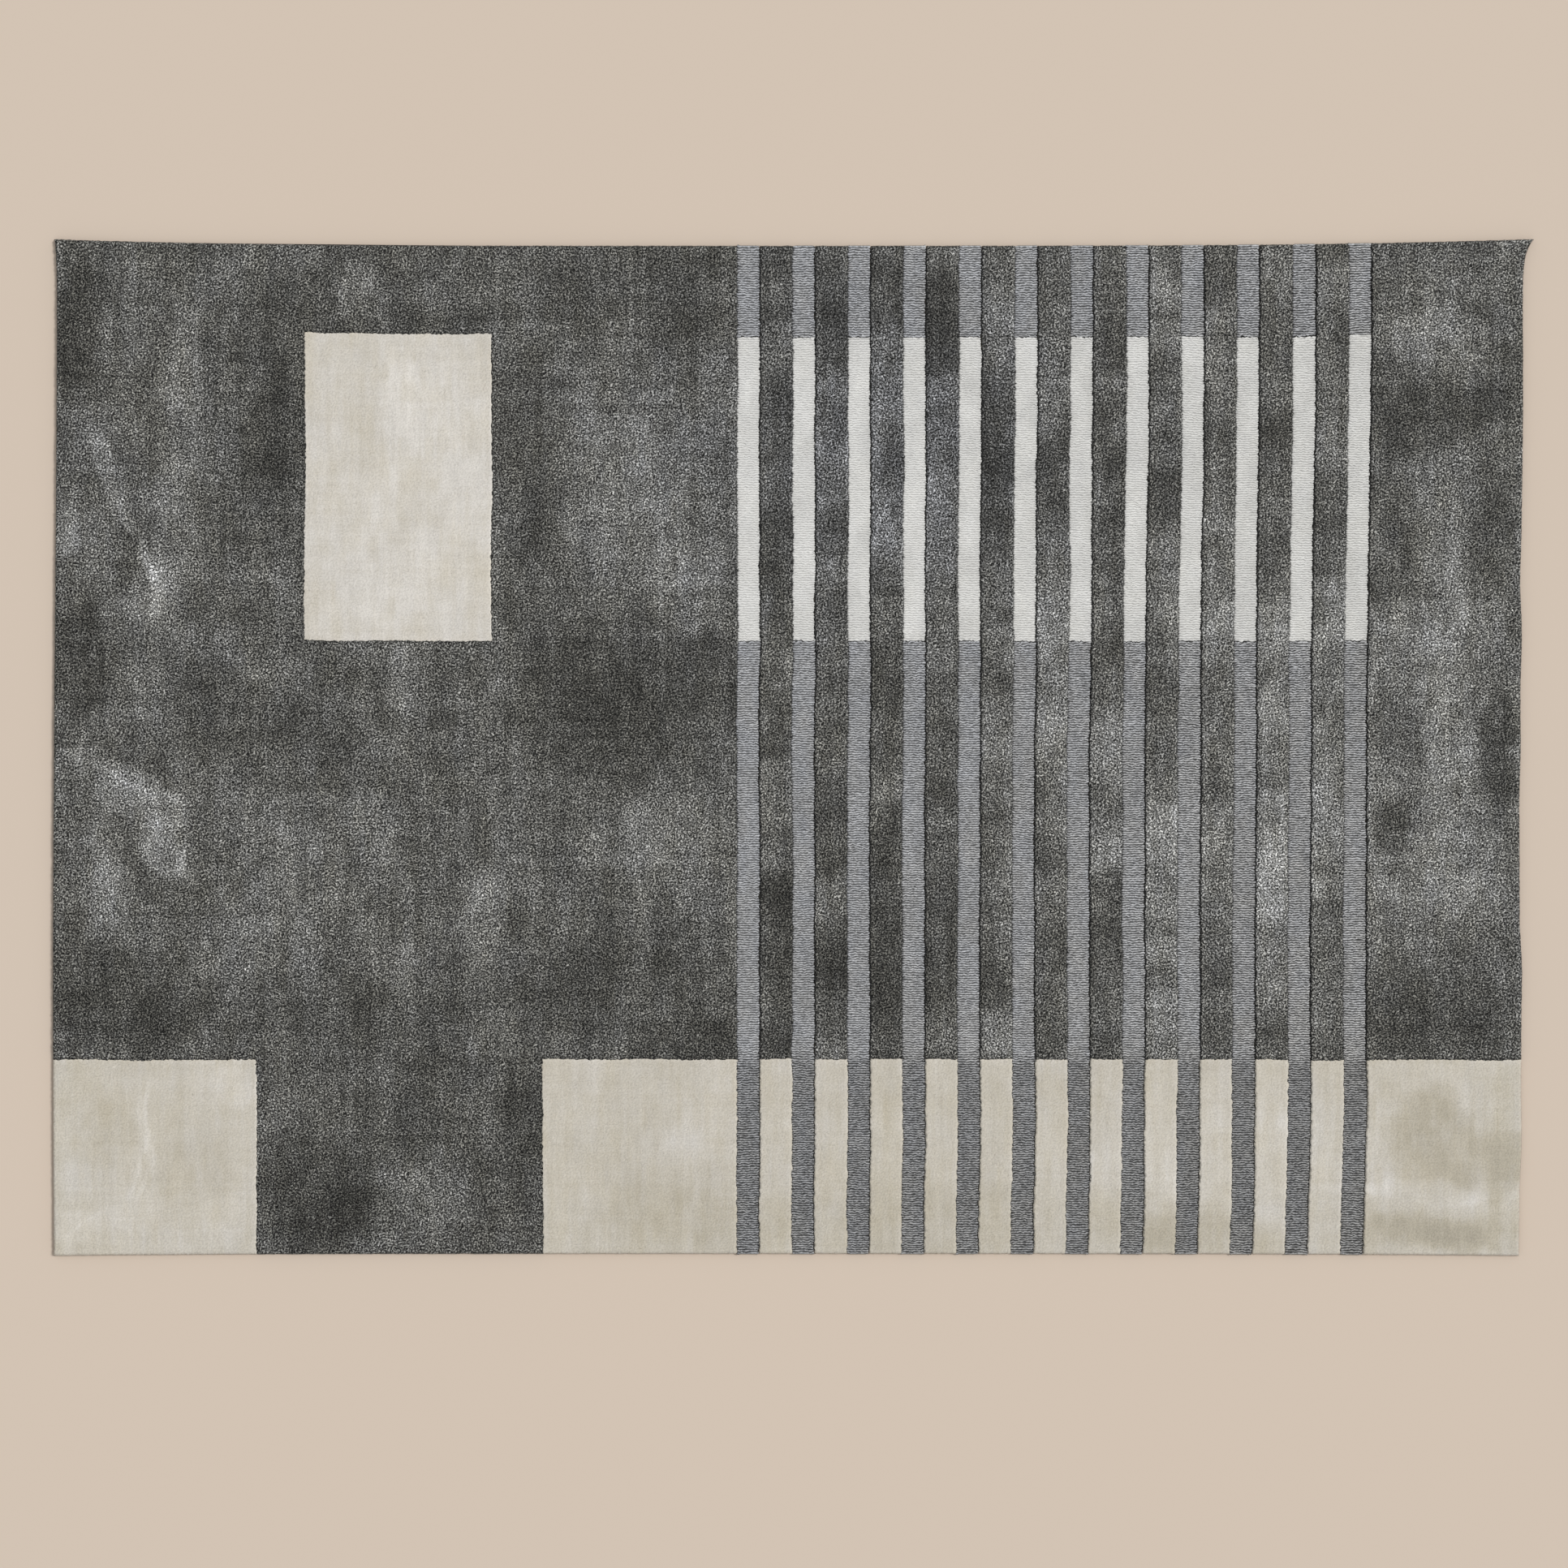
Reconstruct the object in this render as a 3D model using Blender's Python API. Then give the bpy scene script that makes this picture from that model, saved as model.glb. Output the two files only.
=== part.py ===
"""Area rug, 2.90 x 1.99 m: cut-pile fields, twelve lower loop-pile stripes, and a glued fabric back.

The rug lies flat. X runs along its length, Y across its width and Z up, with the origin at the
middle of the underside. From the floor up it holds:

    backing canvas, framed by four mitred hem tapes
    latex coat, which locks the yarns
    woven ground cloth, which carries the yarns
    cut pile in charcoal and cream, and loop pile in grey and ivory, all rooted in the ground cloth

Each loop stripe is warped in grey from end to end. Where it shows ivory, the grey yarns run dead
against the ground cloth and the ivory loops stand on them.
"""

import math

import bmesh
import bpy

# Driving dimensions, in metres
LENGTH = 2.900
WIDTH = 1.992
GAP = 0.0004  # clear space between neighbouring pieces

CANVAS_THICKNESS = 0.0008
LATEX_THICKNESS = 0.0009
GROUND_THICKNESS = 0.0009
CUT_PILE_HEIGHT = 0.0105
LOOP_PILE_HEIGHT = 0.0065
DEAD_YARN_THICKNESS = 0.0012

BACK_INSET = 0.006  # how far the cloth layers stop short of the pile's outline
TAPE_WIDTH = 0.040

STRIPE_COUNT = 12
STRIPE_WIDTH = 0.0445
STRIPE_PITCH = 0.1097
FIRST_STRIPE = 1.348  # from the left edge to the first stripe
IVORY_START = 0.181  # from the top edge to the ivory loops, and to their end
IVORY_END = 0.782

CREAM_START = 1.607  # from the top edge to the cream pile along the bottom
CORNER_BLOCK = 0.400  # length of the cream corner block
BAND_START = 0.965  # from the left edge to the cream band
WINDOW_LEFT, WINDOW_RIGHT = 0.494, 0.864  # from the left edge
WINDOW_TOP, WINDOW_BOTTOM = 0.175, 0.782  # from the top edge

# How far the hand-made outline and rows wander from a true rectangle
CORNER_LIFT, CORNER_LIFT_POWER = 0.013, 3  # both top corners reach beyond the middle of the top edge
CORNER_DROP, CORNER_DROP_POWER = 0.004, 6  # and both bottom corners below that of the bottom edge
CORNER_SPREAD_POWER = 4  # how closely the lift and the drop keep to the corners
RIGHT_EAR, RIGHT_EAR_REACH = 0.022, 0.025  # the top right corner is pulled out sideways
LEFT_EAR, LEFT_EAR_REACH = 0.005, 0.040
EAR_SPREAD = 0.090
EDGE_WAVE, EDGE_WAVE_TURNS, EDGE_WAVE_REACH = 0.004, 0.675, 0.300  # slow wave of the left edge
STRIPE_LEAN, STRIPE_LEAN_SPAN = 0.009, (0.1, 0.55)  # the last stripe's lean, and where it grows
STRIPE_KICK, STRIPE_KICK_POWER = 0.007, 12  # the same stripe's further lean at its foot
LEAN_LOST = 0.6  # share of the lean lost between the last stripe and the right edge

STATION_STEP = 0.18  # longest straight chord along a wandering edge
STATION_CLEARANCE = 0.004  # smallest distance of a station from a fixed grid line
EAR_STATIONS = (0.012, 0.030, 0.060, 0.110)  # extra chords where the corners curve

COLOURS = {
    "charcoal_cut_pile": (0.120, 0.118, 0.110),
    "cream_cut_pile": (0.560, 0.530, 0.450),
    "grey_loop_pile": (0.250, 0.250, 0.260),
    "ivory_loop_pile": (0.620, 0.610, 0.580),
    "ground_cloth": (0.420, 0.370, 0.290),
    "latex": (0.640, 0.600, 0.500),
    "canvas": (0.520, 0.460, 0.350),
    "hem_tape": (0.330, 0.300, 0.250),
}
FABRIC_ROUGHNESS = 0.85

LEFT, RIGHT = -LENGTH / 2, LENGTH / 2
TOP, BOTTOM = WIDTH / 2, -WIDTH / 2

# Heights of the layers, each a gap above the one below
LATEX_Z = CANVAS_THICKNESS + GAP
GROUND_Z = LATEX_Z + LATEX_THICKNESS + GAP
PILE_Z = GROUND_Z + GROUND_THICKNESS + GAP
CUT_PILE_TOP = PILE_Z + CUT_PILE_HEIGHT
LOOP_PILE_TOP = PILE_Z + LOOP_PILE_HEIGHT
DEAD_YARN_TOP = PILE_Z + DEAD_YARN_THICKNESS


def smooth_step(low, high, value):
    """0 below low and 1 above high, with a smooth rise between them."""
    part = min(max((value - low) / (high - low), 0.0), 1.0)
    return part * part * (3.0 - 2.0 * part)


def drift(x, y):
    """How far the finished rug's point (x, y) lies from its place on a true rectangle."""
    along = x / RIGHT
    down = (TOP - y) / WIDTH
    to_right, to_left = RIGHT - x, x - LEFT
    right_ear = RIGHT_EAR * math.exp(-down * WIDTH / RIGHT_EAR_REACH - to_right / EAR_SPREAD)
    left_ear = LEFT_EAR * math.exp(-down * WIDTH / LEFT_EAR_REACH - to_left / EAR_SPREAD)
    wave = EDGE_WAVE * math.cos(2 * math.pi * EDGE_WAVE_TURNS * down) * math.exp(-to_left / EDGE_WAVE_REACH)

    first, last = LEFT + FIRST_STRIPE, LEFT + FIRST_STRIPE + STRIPE_PITCH * (STRIPE_COUNT - 1)
    share = smooth_step(first - STRIPE_PITCH, last, x) * (1.0 - LEAN_LOST * smooth_step(last, RIGHT, x))
    lean = STRIPE_LEAN * smooth_step(*STRIPE_LEAN_SPAN, down) + STRIPE_KICK * down**STRIPE_KICK_POWER

    lift = CORNER_LIFT * (1.0 - down) ** CORNER_LIFT_POWER - CORNER_DROP * down**CORNER_DROP_POWER
    lift *= along**CORNER_SPREAD_POWER
    return right_ear - left_ear + wave - share * lean, lift


def stations(low, high):
    """The places where every long edge between two limits has a vertex, its corners' curves included."""
    count = math.ceil((high - low) / STATION_STEP)
    places = [low + (high - low) * i / count for i in range(count + 1)]
    for step in EAR_STATIONS:
        places += [low + step, high - step]
    return sorted(places)


X_STATIONS = stations(LEFT, RIGHT)
Y_STATIONS = stations(BOTTOM, TOP)


def lines_between(low, high, places, extra=()):
    """Grid lines from low to high: both ends, the stations inside and any extra lines."""
    fixed = [low, *sorted(extra), high]
    inner = [p for p in places if low < p < high and min(abs(p - f) for f in fixed) > STATION_CLEARANCE]
    return sorted(fixed + inner)


def outline_middle():
    """Half-way between the outermost points of the drifted outline, in X and Y."""
    edge = [(x, y) for x in X_STATIONS for y in (BOTTOM, TOP)]
    edge += [(x, y) for y in Y_STATIONS for x in (LEFT, RIGHT)]
    moved = [(x + drift(x, y)[0], y + drift(x, y)[1]) for x, y in edge]
    xs, ys = [p[0] for p in moved], [p[1] for p in moved]
    return (min(xs) + max(xs)) / 2, (min(ys) + max(ys)) / 2


MIDDLE = outline_middle()


def placed(x, y, z):
    """A nominal point of the rug after the drift, about the middle of the drifted outline."""
    dx, dy = drift(x, y)
    return x + dx - MIDDLE[0], y + dy - MIDDLE[1], z


def plain_material(name):
    """A matt cloth material of one colour."""
    material = bpy.data.materials.get(name) or bpy.data.materials.new(name)
    material.use_nodes = True
    shader = material.node_tree.nodes["Principled BSDF"]
    shader.inputs["Base Color"].default_value = (*COLOURS[name], 1.0)
    shader.inputs["Roughness"].default_value = FABRIC_ROUGHNESS
    shader.inputs["Metallic"].default_value = 0.0
    material.diffuse_color = (*COLOURS[name], 1.0)
    return material


def add_object(bm, name, material):
    """Turn a bmesh into a named object with one material."""
    bmesh.ops.recalc_face_normals(bm, faces=bm.faces)
    mesh = bpy.data.meshes.new(name)
    bm.to_mesh(mesh)
    bm.free()
    mesh.materials.append(plain_material(material))
    piece = bpy.data.objects.new(name, mesh)
    bpy.context.scene.collection.objects.link(piece)
    return piece


def grid_slab(corner, columns, rows, low, high, kept=lambda i, j: True):
    """A bmesh slab over the kept cells of a grid, whose point (i, j) is corner(i, j, height)."""
    bm = bmesh.new()
    levels = ({}, {})

    def vertex(level, i, j):
        if (i, j) not in levels[level]:
            levels[level][i, j] = bm.verts.new(corner(i, j, (low, high)[level]))
        return levels[level][i, j]

    cells = {(i, j) for i in range(columns) for j in range(rows) if kept(i, j)}
    for i, j in sorted(cells):
        ring = [(i, j), (i + 1, j), (i + 1, j + 1), (i, j + 1)]
        bm.faces.new([vertex(1, *p) for p in ring])
        bm.faces.new([vertex(0, *p) for p in reversed(ring)])
        beside = [(i, j - 1), (i + 1, j), (i, j + 1), (i - 1, j)]
        for side, neighbour in enumerate(beside):
            if neighbour not in cells:
                start, end = ring[side], ring[(side + 1) % 4]
                bm.faces.new([vertex(0, *start), vertex(0, *end), vertex(1, *end), vertex(1, *start)])
    return bm


def rug_slab(xs, ys, low, high, kept=lambda x, y: True):
    """A slab over a grid of nominal lines, keeping the cells whose middle passes the test."""
    return grid_slab(
        lambda i, j, z: placed(xs[i], ys[j], z),
        len(xs) - 1,
        len(ys) - 1,
        low,
        high,
        lambda i, j: kept((xs[i] + xs[i + 1]) / 2, (ys[j] + ys[j + 1]) / 2),
    )


def inset(low, high, outer_low, outer_high):
    """Both limits drawn in by half a gap, except one that lies on the rug's own outline."""
    return (
        low if math.isclose(low, outer_low) else low + GAP / 2,
        high if math.isclose(high, outer_high) else high - GAP / 2,
    )


def pile_block(name, material, left, right, top, bottom):
    """A plain rectangle of pile, given from the rug's left and top edges."""
    x_low, x_high = inset(LEFT + left, LEFT + right, LEFT, RIGHT)
    y_low, y_high = inset(TOP - bottom, TOP - top, BOTTOM, TOP)
    xs = lines_between(x_low, x_high, X_STATIONS)
    ys = lines_between(y_low, y_high, Y_STATIONS)
    add_object(rug_slab(xs, ys, PILE_Z, CUT_PILE_TOP), name, material)


def charcoal_field():
    """The large charcoal field left of the stripes, cut out for the window, the corner block and the band."""
    x_high = LEFT + FIRST_STRIPE - GAP / 2
    window_x = (LEFT + WINDOW_LEFT - GAP / 2, LEFT + WINDOW_RIGHT + GAP / 2)
    window_y = (TOP - WINDOW_BOTTOM - GAP / 2, TOP - WINDOW_TOP + GAP / 2)
    block_x = LEFT + CORNER_BLOCK + GAP / 2
    band_x = LEFT + BAND_START - GAP / 2
    cream_y = TOP - CREAM_START + GAP / 2

    def kept(x, y):
        in_window = window_x[0] < x < window_x[1] and window_y[0] < y < window_y[1]
        in_cream = y < cream_y and not block_x < x < band_x
        return not in_window and not in_cream

    xs = lines_between(LEFT, x_high, X_STATIONS, (*window_x, block_x, band_x))
    ys = lines_between(BOTTOM, TOP, Y_STATIONS, (*window_y, cream_y))
    add_object(rug_slab(xs, ys, PILE_Z, CUT_PILE_TOP, kept), "charcoal_pile_field", "charcoal_cut_pile")


def loop_stripe(number, left):
    """One loop stripe: grey from end to end, with a bed of dead yarn under its ivory loops."""
    x_low, x_high = LEFT + left + GAP / 2, LEFT + left + STRIPE_WIDTH - GAP / 2
    bed_low, bed_high = TOP - IVORY_END - GAP / 2, TOP - IVORY_START + GAP / 2
    ys = lines_between(BOTTOM, TOP, Y_STATIONS, (bed_low, bed_high))
    bm = rug_slab([x_low, x_high], ys, PILE_Z, DEAD_YARN_TOP)
    bm.normal_update()
    raised = [
        face
        for face in bm.faces
        if face.normal.z > 0.5 and not bed_low < face.calc_center_median().y + MIDDLE[1] < bed_high
    ]
    grown = bmesh.ops.extrude_face_region(bm, geom=raised)["geom"]
    lifted = [item for item in grown if isinstance(item, bmesh.types.BMVert)]
    bmesh.ops.translate(bm, verts=lifted, vec=(0, 0, LOOP_PILE_TOP - DEAD_YARN_TOP))
    bmesh.ops.delete(bm, geom=raised, context="FACES_ONLY")
    add_object(bm, f"grey_loop_stripe_{number:02d}", "grey_loop_pile")

    ys = lines_between(bed_low + GAP, bed_high - GAP, Y_STATIONS)
    bm = rug_slab([x_low, x_high], ys, DEAD_YARN_TOP + GAP, LOOP_PILE_TOP)
    add_object(bm, f"ivory_loop_inset_{number:02d}", "ivory_loop_pile")


def cloth_layer(name, material, edge, low, high):
    """A whole layer of cloth or latex that stops short of the pile's outline by edge."""
    xs = lines_between(LEFT + edge, RIGHT - edge, X_STATIONS)
    ys = lines_between(BOTTOM + edge, TOP - edge, Y_STATIONS)
    add_object(rug_slab(xs, ys, low, high), name, material)


def hem_tape(name, start, end):
    """One mitred hem tape around the backing canvas, between two nominal corners of the rug."""
    inner = BACK_INSET + TAPE_WIDTH - GAP / 2
    along = 0 if abs(end[0] - start[0]) > abs(end[1] - start[1]) else 1
    limits = ((LEFT, RIGHT), (BOTTOM, TOP))[along]
    fixed = start[1 - along]
    inward = -1.0 if fixed > 0 else 1.0
    cuts = [p for p in (X_STATIONS, Y_STATIONS)[along] if limits[0] + inner < p < limits[1] - inner]
    count = len(cuts) + 2

    def corner(i, j, z):
        depth = (BACK_INSET, inner)[j]
        low, high = limits[0] + depth + GAP, limits[1] - depth - GAP
        place = low if i == 0 else high if i == count - 1 else cuts[i - 1]
        across = fixed + inward * depth
        x, y = (place, across) if along == 0 else (across, place)
        return placed(x, y, z)

    add_object(grid_slab(corner, count - 1, 1, 0.0, CANVAS_THICKNESS), name, "hem_tape")


def build_back():
    """The layers under the pile."""
    cloth_layer("backing_canvas", "canvas", BACK_INSET + TAPE_WIDTH + GAP / 2, 0.0, CANVAS_THICKNESS)
    hem_tape("hem_tape_top", (LEFT, TOP), (RIGHT, TOP))
    hem_tape("hem_tape_bottom", (LEFT, BOTTOM), (RIGHT, BOTTOM))
    hem_tape("hem_tape_left", (LEFT, BOTTOM), (LEFT, TOP))
    hem_tape("hem_tape_right", (RIGHT, BOTTOM), (RIGHT, TOP))
    cloth_layer("latex_coat", "latex", BACK_INSET, LATEX_Z, LATEX_Z + LATEX_THICKNESS)
    cloth_layer("ground_cloth", "ground_cloth", BACK_INSET, GROUND_Z, GROUND_Z + GROUND_THICKNESS)


def build_pile():
    """The cut-pile fields, then the stripes with the strips of cut pile between them."""
    charcoal, cream = "charcoal_cut_pile", "cream_cut_pile"
    charcoal_field()
    pile_block("cream_pile_window", cream, WINDOW_LEFT, WINDOW_RIGHT, WINDOW_TOP, WINDOW_BOTTOM)
    pile_block("cream_pile_corner_block", cream, 0.0, CORNER_BLOCK, CREAM_START, WIDTH)
    pile_block("cream_pile_band_left", cream, BAND_START, FIRST_STRIPE, CREAM_START, WIDTH)
    for index in range(STRIPE_COUNT):
        left = FIRST_STRIPE + STRIPE_PITCH * index
        loop_stripe(index + 1, left)
        if index < STRIPE_COUNT - 1:
            sides = (left + STRIPE_WIDTH, left + STRIPE_PITCH)
            pile_block(f"charcoal_pile_strip_{index + 1:02d}", charcoal, *sides, 0.0, CREAM_START)
            pile_block(f"cream_pile_strip_{index + 1:02d}", cream, *sides, CREAM_START, WIDTH)
    last = FIRST_STRIPE + STRIPE_PITCH * (STRIPE_COUNT - 1) + STRIPE_WIDTH
    pile_block("charcoal_pile_right_field", charcoal, last, LENGTH, 0.0, CREAM_START)
    pile_block("cream_pile_band_right", cream, last, LENGTH, CREAM_START, WIDTH)


def main():
    """Build the rug in an emptied scene."""
    for old in list(bpy.data.objects):
        bpy.data.objects.remove(old)
    build_back()
    build_pile()


main()
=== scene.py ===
"""Visual model of the area rug: tufted cut pile, rows of yarn loops and a stitched cloth back.

Each area of pile is a relief with a vertex at every yarn tip and every gap between tips, so the
tufts, the loop rows and the ragged colour borders are geometry. Three values are kept on every
vertex for the materials: tip (0 in a gap, 1 on a yarn tip; the materials paint shade into the gaps
and highlights onto the tips), gain (painted sheen and shade: how much light the lie of the pile
sends back, multiplied into the colour) and tone (0 warm, 1 cool).

Lengths are in metres. Where noise is called, the whole number after the sizes is its seed, which
only picks the pattern.
"""

import math

import bpy
import numpy as np
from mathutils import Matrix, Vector


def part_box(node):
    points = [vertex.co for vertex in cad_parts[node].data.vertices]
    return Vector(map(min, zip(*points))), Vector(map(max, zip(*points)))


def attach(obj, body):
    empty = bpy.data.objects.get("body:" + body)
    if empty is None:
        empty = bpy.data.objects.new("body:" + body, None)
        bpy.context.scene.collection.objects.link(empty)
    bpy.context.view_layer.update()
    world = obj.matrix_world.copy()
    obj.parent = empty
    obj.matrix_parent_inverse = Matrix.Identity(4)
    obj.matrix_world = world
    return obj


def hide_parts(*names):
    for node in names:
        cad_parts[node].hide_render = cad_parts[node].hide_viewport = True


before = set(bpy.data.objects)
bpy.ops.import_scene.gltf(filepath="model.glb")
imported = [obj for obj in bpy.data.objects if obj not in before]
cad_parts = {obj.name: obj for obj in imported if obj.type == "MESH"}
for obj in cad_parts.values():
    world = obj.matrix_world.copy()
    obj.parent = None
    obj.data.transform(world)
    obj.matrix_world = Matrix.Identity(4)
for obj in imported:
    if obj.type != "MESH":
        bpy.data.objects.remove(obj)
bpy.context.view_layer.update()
scene = bpy.context.scene

# ---------- dimensions, as in the CAD model
LENGTH, WIDTH = 2.900, 1.992
GAP = 0.0004
BACK_INSET, TAPE_WIDTH = 0.006, 0.040
STRIPE_COUNT, STRIPE_WIDTH, STRIPE_PITCH, FIRST_STRIPE = 12, 0.0445, 0.1097, 1.348
IVORY_START, IVORY_END = 0.181, 0.782
CREAM_START, CORNER_BLOCK, BAND_START = 1.607, 0.400, 0.965
WINDOW_LEFT, WINDOW_RIGHT, WINDOW_TOP, WINDOW_BOTTOM = 0.494, 0.864, 0.175, 0.782

CORNER_LIFT, CORNER_DROP = 0.013, 0.004
CORNER_POWER, LIFT_POWER, DROP_POWER = 4, 3, 6  # how close to the corners the lift and the drop stay
RIGHT_EAR, RIGHT_EAR_REACH = 0.022, 0.025
LEFT_EAR, LEFT_EAR_REACH = 0.005, 0.040
EAR_SPREAD = 0.090
EDGE_WAVE, EDGE_WAVE_TURNS, EDGE_WAVE_REACH = 0.004, 0.675, 0.300
STRIPE_LEAN, STRIPE_KICK = 0.009, 0.007
LEAN_START, LEAN_FULL = 0.10, 0.55  # where down the rug the lean begins and is complete, as shares
LEAN_LOSS = 0.6  # the share of the lean that is gone again at the right-hand edge
KICK_POWER = 12  # how close to the foot the kick stays
OUTLINE_SAMPLES = 401

LEFT, RIGHT, TOP, BOTTOM = -LENGTH / 2, LENGTH / 2, WIDTH / 2, -WIDTH / 2
LAST_STRIPE_END = FIRST_STRIPE + STRIPE_PITCH * (STRIPE_COUNT - 1) + STRIPE_WIDTH

# Heights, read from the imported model
(_, _, PILE_ROOT), (_, _, CUT_TOP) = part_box("charcoal_pile_field")
LOOP_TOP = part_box("grey_loop_stripe_01")[1][2]
DEAD_YARN_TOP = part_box("ivory_loop_inset_01")[0][2] - GAP

# ---------- the yarns
TUFT_GRID = 0.0021  # half the spacing of the tufts
TUFT_HEIGHT = {"charcoal": 0.0010, "cream": 0.0005}  # of a tip above the mean pile surface
TUFT_JITTER = 0.30  # of the grid step, sideways
RAGGED = ((0.0030, 0.0017), (0.0085, 0.0008))  # size and reach of tufts that stand across a border
INNER_RAGGED = {"charcoal": 1.0, "cream": 0.5}  # the same away from the borders, as a share
WANDER = ((0.060, 0.0012), (0.180, 0.0016))  # size and reach of the slow wander of every row
WANDER_FADE = 0.03  # how far inside the outline the slow wander begins
RIGHT_WANDER, RIGHT_WANDER_SIZE, RIGHT_WANDER_DEPTH = 0.0030, 0.11, 0.06  # of the right-hand edge
OUTER_ROUND, STRIPE_ROUND, BORDER_ROUND = 0.006, 0.0035, 0.0020
RIM_Z = 0.0022  # how low the outermost tufts reach
RIM_TUCK = 0.005  # how far the roots lie inside the outline
BORDER_DROP = 0.0012
STRIPE_OVERHANG = 0.0003  # how far the cut pile leans over the loops to its right
STRIPE_GROOVE = 0.0012  # how far it leans away from the loops to its left

ROW_PITCH = 0.004575  # of the loop rows
ROW_SAMPLES = 4
LOOP_GRID = 0.0022
ROW_DEPTH = 0.0030
ROW_WANDER = 0.0012
MEAN_TIP = 0.52  # of a vertex on the loops


# ---------- noise and layout
def lattice(ix, iy, seed):
    """A repeatable value from 0 to 1 for each whole-numbered lattice point."""
    mask = 0xFFFFFFFF
    h = (ix * 374761393 + iy * 668265263 + seed * 1442695041) & mask
    h = ((h ^ (h >> 13)) * 1274126177) & mask
    h = h ^ (h >> 16)
    return (h & 0xFFFFFF) / 0xFFFFFF


def noise(x, y, size_x, size_y, seed):
    """Smooth noise from -1 to 1 whose lumps measure about size_x by size_y."""
    gx, gy = x / size_x + 1000.0, y / size_y + 1000.0
    ix, iy = np.floor(gx).astype(np.int64), np.floor(gy).astype(np.int64)
    fx, fy = gx - ix, gy - iy
    fx, fy = fx * fx * (3 - 2 * fx), fy * fy * (3 - 2 * fy)
    low = lattice(ix, iy, seed) * (1 - fx) + lattice(ix + 1, iy, seed) * fx
    high = lattice(ix, iy + 1, seed) * (1 - fx) + lattice(ix + 1, iy + 1, seed) * fx
    return 2.0 * (low * (1 - fy) + high * fy) - 1.0


def cloud(x, y, size_x, size_y, seed, octaves=3):
    """Noise at several sizes, each half as large and half as strong as the one before."""
    total, strength = np.zeros(np.shape(x)), 0.0
    for octave in range(octaves):
        share = 0.5**octave
        total += share * noise(x, y, size_x * share, size_y * share, seed + 17 * octave)
        strength += share
    return total / strength


def smooth_step(low, high, value):
    """0 below low and 1 above high, with a smooth rise between them."""
    part = np.clip((value - low) / (high - low), 0.0, 1.0)
    return part * part * (3.0 - 2.0 * part)


def drift(x, y):
    """How far the finished rug's point (x, y) lies from its place on a true rectangle."""
    along, down = x / RIGHT, (TOP - y) / WIDTH
    to_right, to_left = RIGHT - x, x - LEFT
    right_ear = RIGHT_EAR * np.exp(-down * WIDTH / RIGHT_EAR_REACH - to_right / EAR_SPREAD)
    left_ear = LEFT_EAR * np.exp(-down * WIDTH / LEFT_EAR_REACH - to_left / EAR_SPREAD)
    wave = EDGE_WAVE * np.cos(2 * math.pi * EDGE_WAVE_TURNS * down) * np.exp(-to_left / EDGE_WAVE_REACH)

    first, last = LEFT + FIRST_STRIPE, LEFT + FIRST_STRIPE + STRIPE_PITCH * (STRIPE_COUNT - 1)
    share = smooth_step(first - STRIPE_PITCH, last, x) * (1.0 - LEAN_LOSS * smooth_step(last, RIGHT, x))
    kick = STRIPE_KICK * np.abs(down) ** KICK_POWER
    lean = share * (STRIPE_LEAN * smooth_step(LEAN_START, LEAN_FULL, down) + kick)

    lift = CORNER_LIFT * (1.0 - down) ** LIFT_POWER - CORNER_DROP * down**DROP_POWER
    return right_ear - left_ear + wave - lean, along**CORNER_POWER * lift


def outline_middle():
    """Half-way between the outermost points of the drifted outline."""
    t = np.linspace(0.0, 1.0, OUTLINE_SAMPLES)
    across, up = LEFT + LENGTH * t, BOTTOM + WIDTH * t
    x = np.concatenate([across, across, np.full_like(t, LEFT), np.full_like(t, RIGHT)])
    y = np.concatenate([np.full_like(t, TOP), np.full_like(t, BOTTOM), up, up])
    dx, dy = drift(x, y)
    x, y = x + dx, y + dy
    return (x.min() + x.max()) / 2, (y.min() + y.max()) / 2


MIDDLE = outline_middle()


# ---------- how the rug lies
REST_WAVE = 0.0008  # half the height of the low waves left over from rolling the rug up
REST_WAVE_LENGTH, REST_WAVE_WIDTH = 0.35, 1.40


def lifted(x, y):
    """How far the rug stands off the floor."""
    return REST_WAVE * (1.0 + cloud(x, y, REST_WAVE_LENGTH, REST_WAVE_WIDTH, 401, 2))


def placed(x, y, z, ragged=0.0):
    """Points of a true rectangle as they lie on the rug, in the frame.

    ragged (0 to 1) moves single tufts about.
    """
    x, y, z, ragged = np.broadcast_arrays(x, y, z, ragged)
    dx, dy = drift(x, y)
    for number, (size, reach) in enumerate(RAGGED):
        dx = dx + ragged * reach * noise(x, y, size, size, 71 + number)
        dy = dy + ragged * reach * noise(x, y, size, size, 76 + number)
    right_wander = RIGHT_WANDER * noise(np.zeros_like(x), y, 1.0, RIGHT_WANDER_SIZE, 91)
    dx = dx + right_wander * np.exp((x - RIGHT) / RIGHT_WANDER_DEPTH)
    return np.stack([x + dx - MIDDLE[0], y + dy - MIDDLE[1], z + lifted(x, y)], axis=-1)


def wandered(x, y):
    """Points moved by the slow wander of the rows, which dies out at the outline."""
    edge = np.minimum.reduce([x - LEFT, RIGHT - x, y - BOTTOM, TOP - y])
    share = smooth_step(0.0, WANDER_FADE, edge)
    dx = sum(reach * noise(x, y, size, size, 81 + n) for n, (size, reach) in enumerate(WANDER))
    dy = sum(reach * noise(x, y, size, size, 86 + n) for n, (size, reach) in enumerate(WANDER))
    return x + share * dx, y + share * dy
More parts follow.
